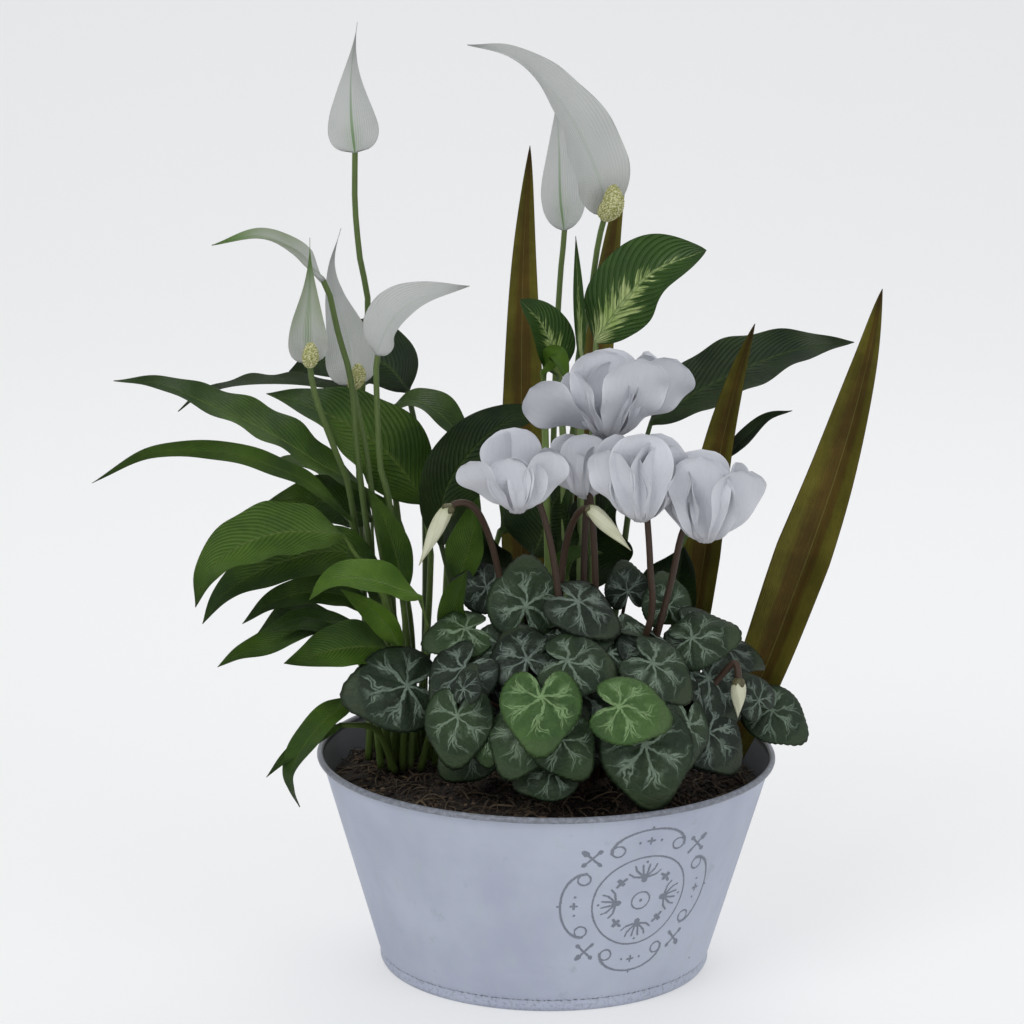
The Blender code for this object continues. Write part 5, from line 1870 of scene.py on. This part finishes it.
bud_cream = bud_finish()
for name, route in CYCLAMEN_BUDS.items():
    flower_stems.append(make_bud(name, route, (name,)))
flower_stems.append(make_bud("bud_small", EXTRA_BUD))
tubes("cyclamen_flower_stems", flower_stems, 10, red_stalk)

# Camera, floor and lights. A pale seamless sweep lit by soft boxes and a pale room.
CAMERA_PLACE = (0.0, -2.0, 0.720)
CAMERA_DOWN = math.radians(13.04)
CAMERA_YAW = math.radians(-0.58)
CAMERA_ROLL = math.radians(0.51)
LENS_MM = 130.96
PAPER_GLOW = 0.38
PAPER_FRONT = -4.0
PAPER_BEND_FROM = 1.6
PAPER_BEND = 1.4
PAPER_TOP = 7.0
PAPER_HALF_WIDTH = 9.0
PAPER_DROP = 0.0002


def aim_camera():
    lens = bpy.data.cameras.new("camera")
    lens.lens = LENS_MM
    lens.sensor_width = 36.0
    view = bpy.data.objects.new("camera", lens)
    bpy.context.scene.collection.objects.link(view)
    forward = Vector((
        math.sin(CAMERA_YAW) * math.cos(CAMERA_DOWN),
        math.cos(CAMERA_YAW) * math.cos(CAMERA_DOWN),
        -math.sin(CAMERA_DOWN),
    ))
    level = Vector((math.cos(CAMERA_YAW), -math.sin(CAMERA_YAW), 0.0))
    above = level.cross(forward)
    right = level * math.cos(CAMERA_ROLL) + above * math.sin(CAMERA_ROLL)
    top = above * math.cos(CAMERA_ROLL) - level * math.sin(CAMERA_ROLL)
    matrix = Matrix((right, top, -forward)).transposed().to_4x4()
    matrix.translation = CAMERA_PLACE
    view.matrix_world = matrix
    bpy.context.scene.camera = view


def seamless_sweep():
    """Floor that curves up behind into a backdrop, all one pale paper."""
    outline = [(PAPER_FRONT, 0.0), (PAPER_BEND_FROM, 0.0)]
    for step in range(1, 17):
        angle = math.radians(90 * step / 16)
        y = PAPER_BEND_FROM + PAPER_BEND * math.sin(angle)
        outline.append((y, PAPER_BEND * (1 - math.cos(angle))))
    outline.append((PAPER_BEND_FROM + PAPER_BEND, PAPER_TOP))
    points, faces = [], []
    for y, z in outline:
        points.append((-PAPER_HALF_WIDTH, y, z - PAPER_DROP))
        points.append((PAPER_HALF_WIDTH, y, z - PAPER_DROP))
    for index in range(len(outline) - 1):
        first = 2 * index
        faces.append((first, first + 1, first + 3, first + 2))
    mesh = bpy.data.meshes.new("paper_sweep")
    mesh.from_pydata(points, [], faces)
    mesh.shade_smooth()
    paper = Finish("white_paper")
    mottle = paper.noise(paper.place(), 3, 2)
    colour = paper.mix(mottle, (0.50, 0.50, 0.50), (0.505, 0.505, 0.505))
    glow = {"Emission_Color": (1.0, 1.0, 1.0, 1.0), "Emission_Strength": PAPER_GLOW}
    mesh.materials.append(paper.finish(colour, 0.6, **glow))
    sweep = bpy.data.objects.new("paper_sweep", mesh)
    bpy.context.scene.collection.objects.link(sweep)


def soft_box(name, place, target, size, power):
    lamp = bpy.data.lights.new(name, "AREA")
    lamp.shape = "RECTANGLE"
    lamp.size, lamp.size_y = size
    lamp.energy = power
    box = bpy.data.objects.new(name, lamp)
    box.location = place
    box.rotation_euler = (Vector(target) - Vector(place)).to_track_quat("-Z", "Y").to_euler()
    bpy.context.scene.collection.objects.link(box)


aim_camera()
seamless_sweep()
soft_box("key_box", (-1.2, -1.8, 2.2), (0, 0, 0.25), (1.6, 1.2), 26)
soft_box("fill_box", (1.8, -1.6, 1.2), (0, 0, 0.2), (1.4, 1.4), 10)
soft_box("back_box", (0.3, 1.3, 1.9), (0, 0, 0.3), (1.6, 0.8), 9)
room = bpy.data.worlds.new("pale_room")
room.use_nodes = True
room.node_tree.nodes["Background"].inputs["Color"].default_value = (0.92, 0.95, 1.0, 1.0)
room.node_tree.nodes["Background"].inputs["Strength"].default_value = 0.62
bpy.context.scene.world = room
bpy.context.scene.view_settings.view_transform = "Standard"
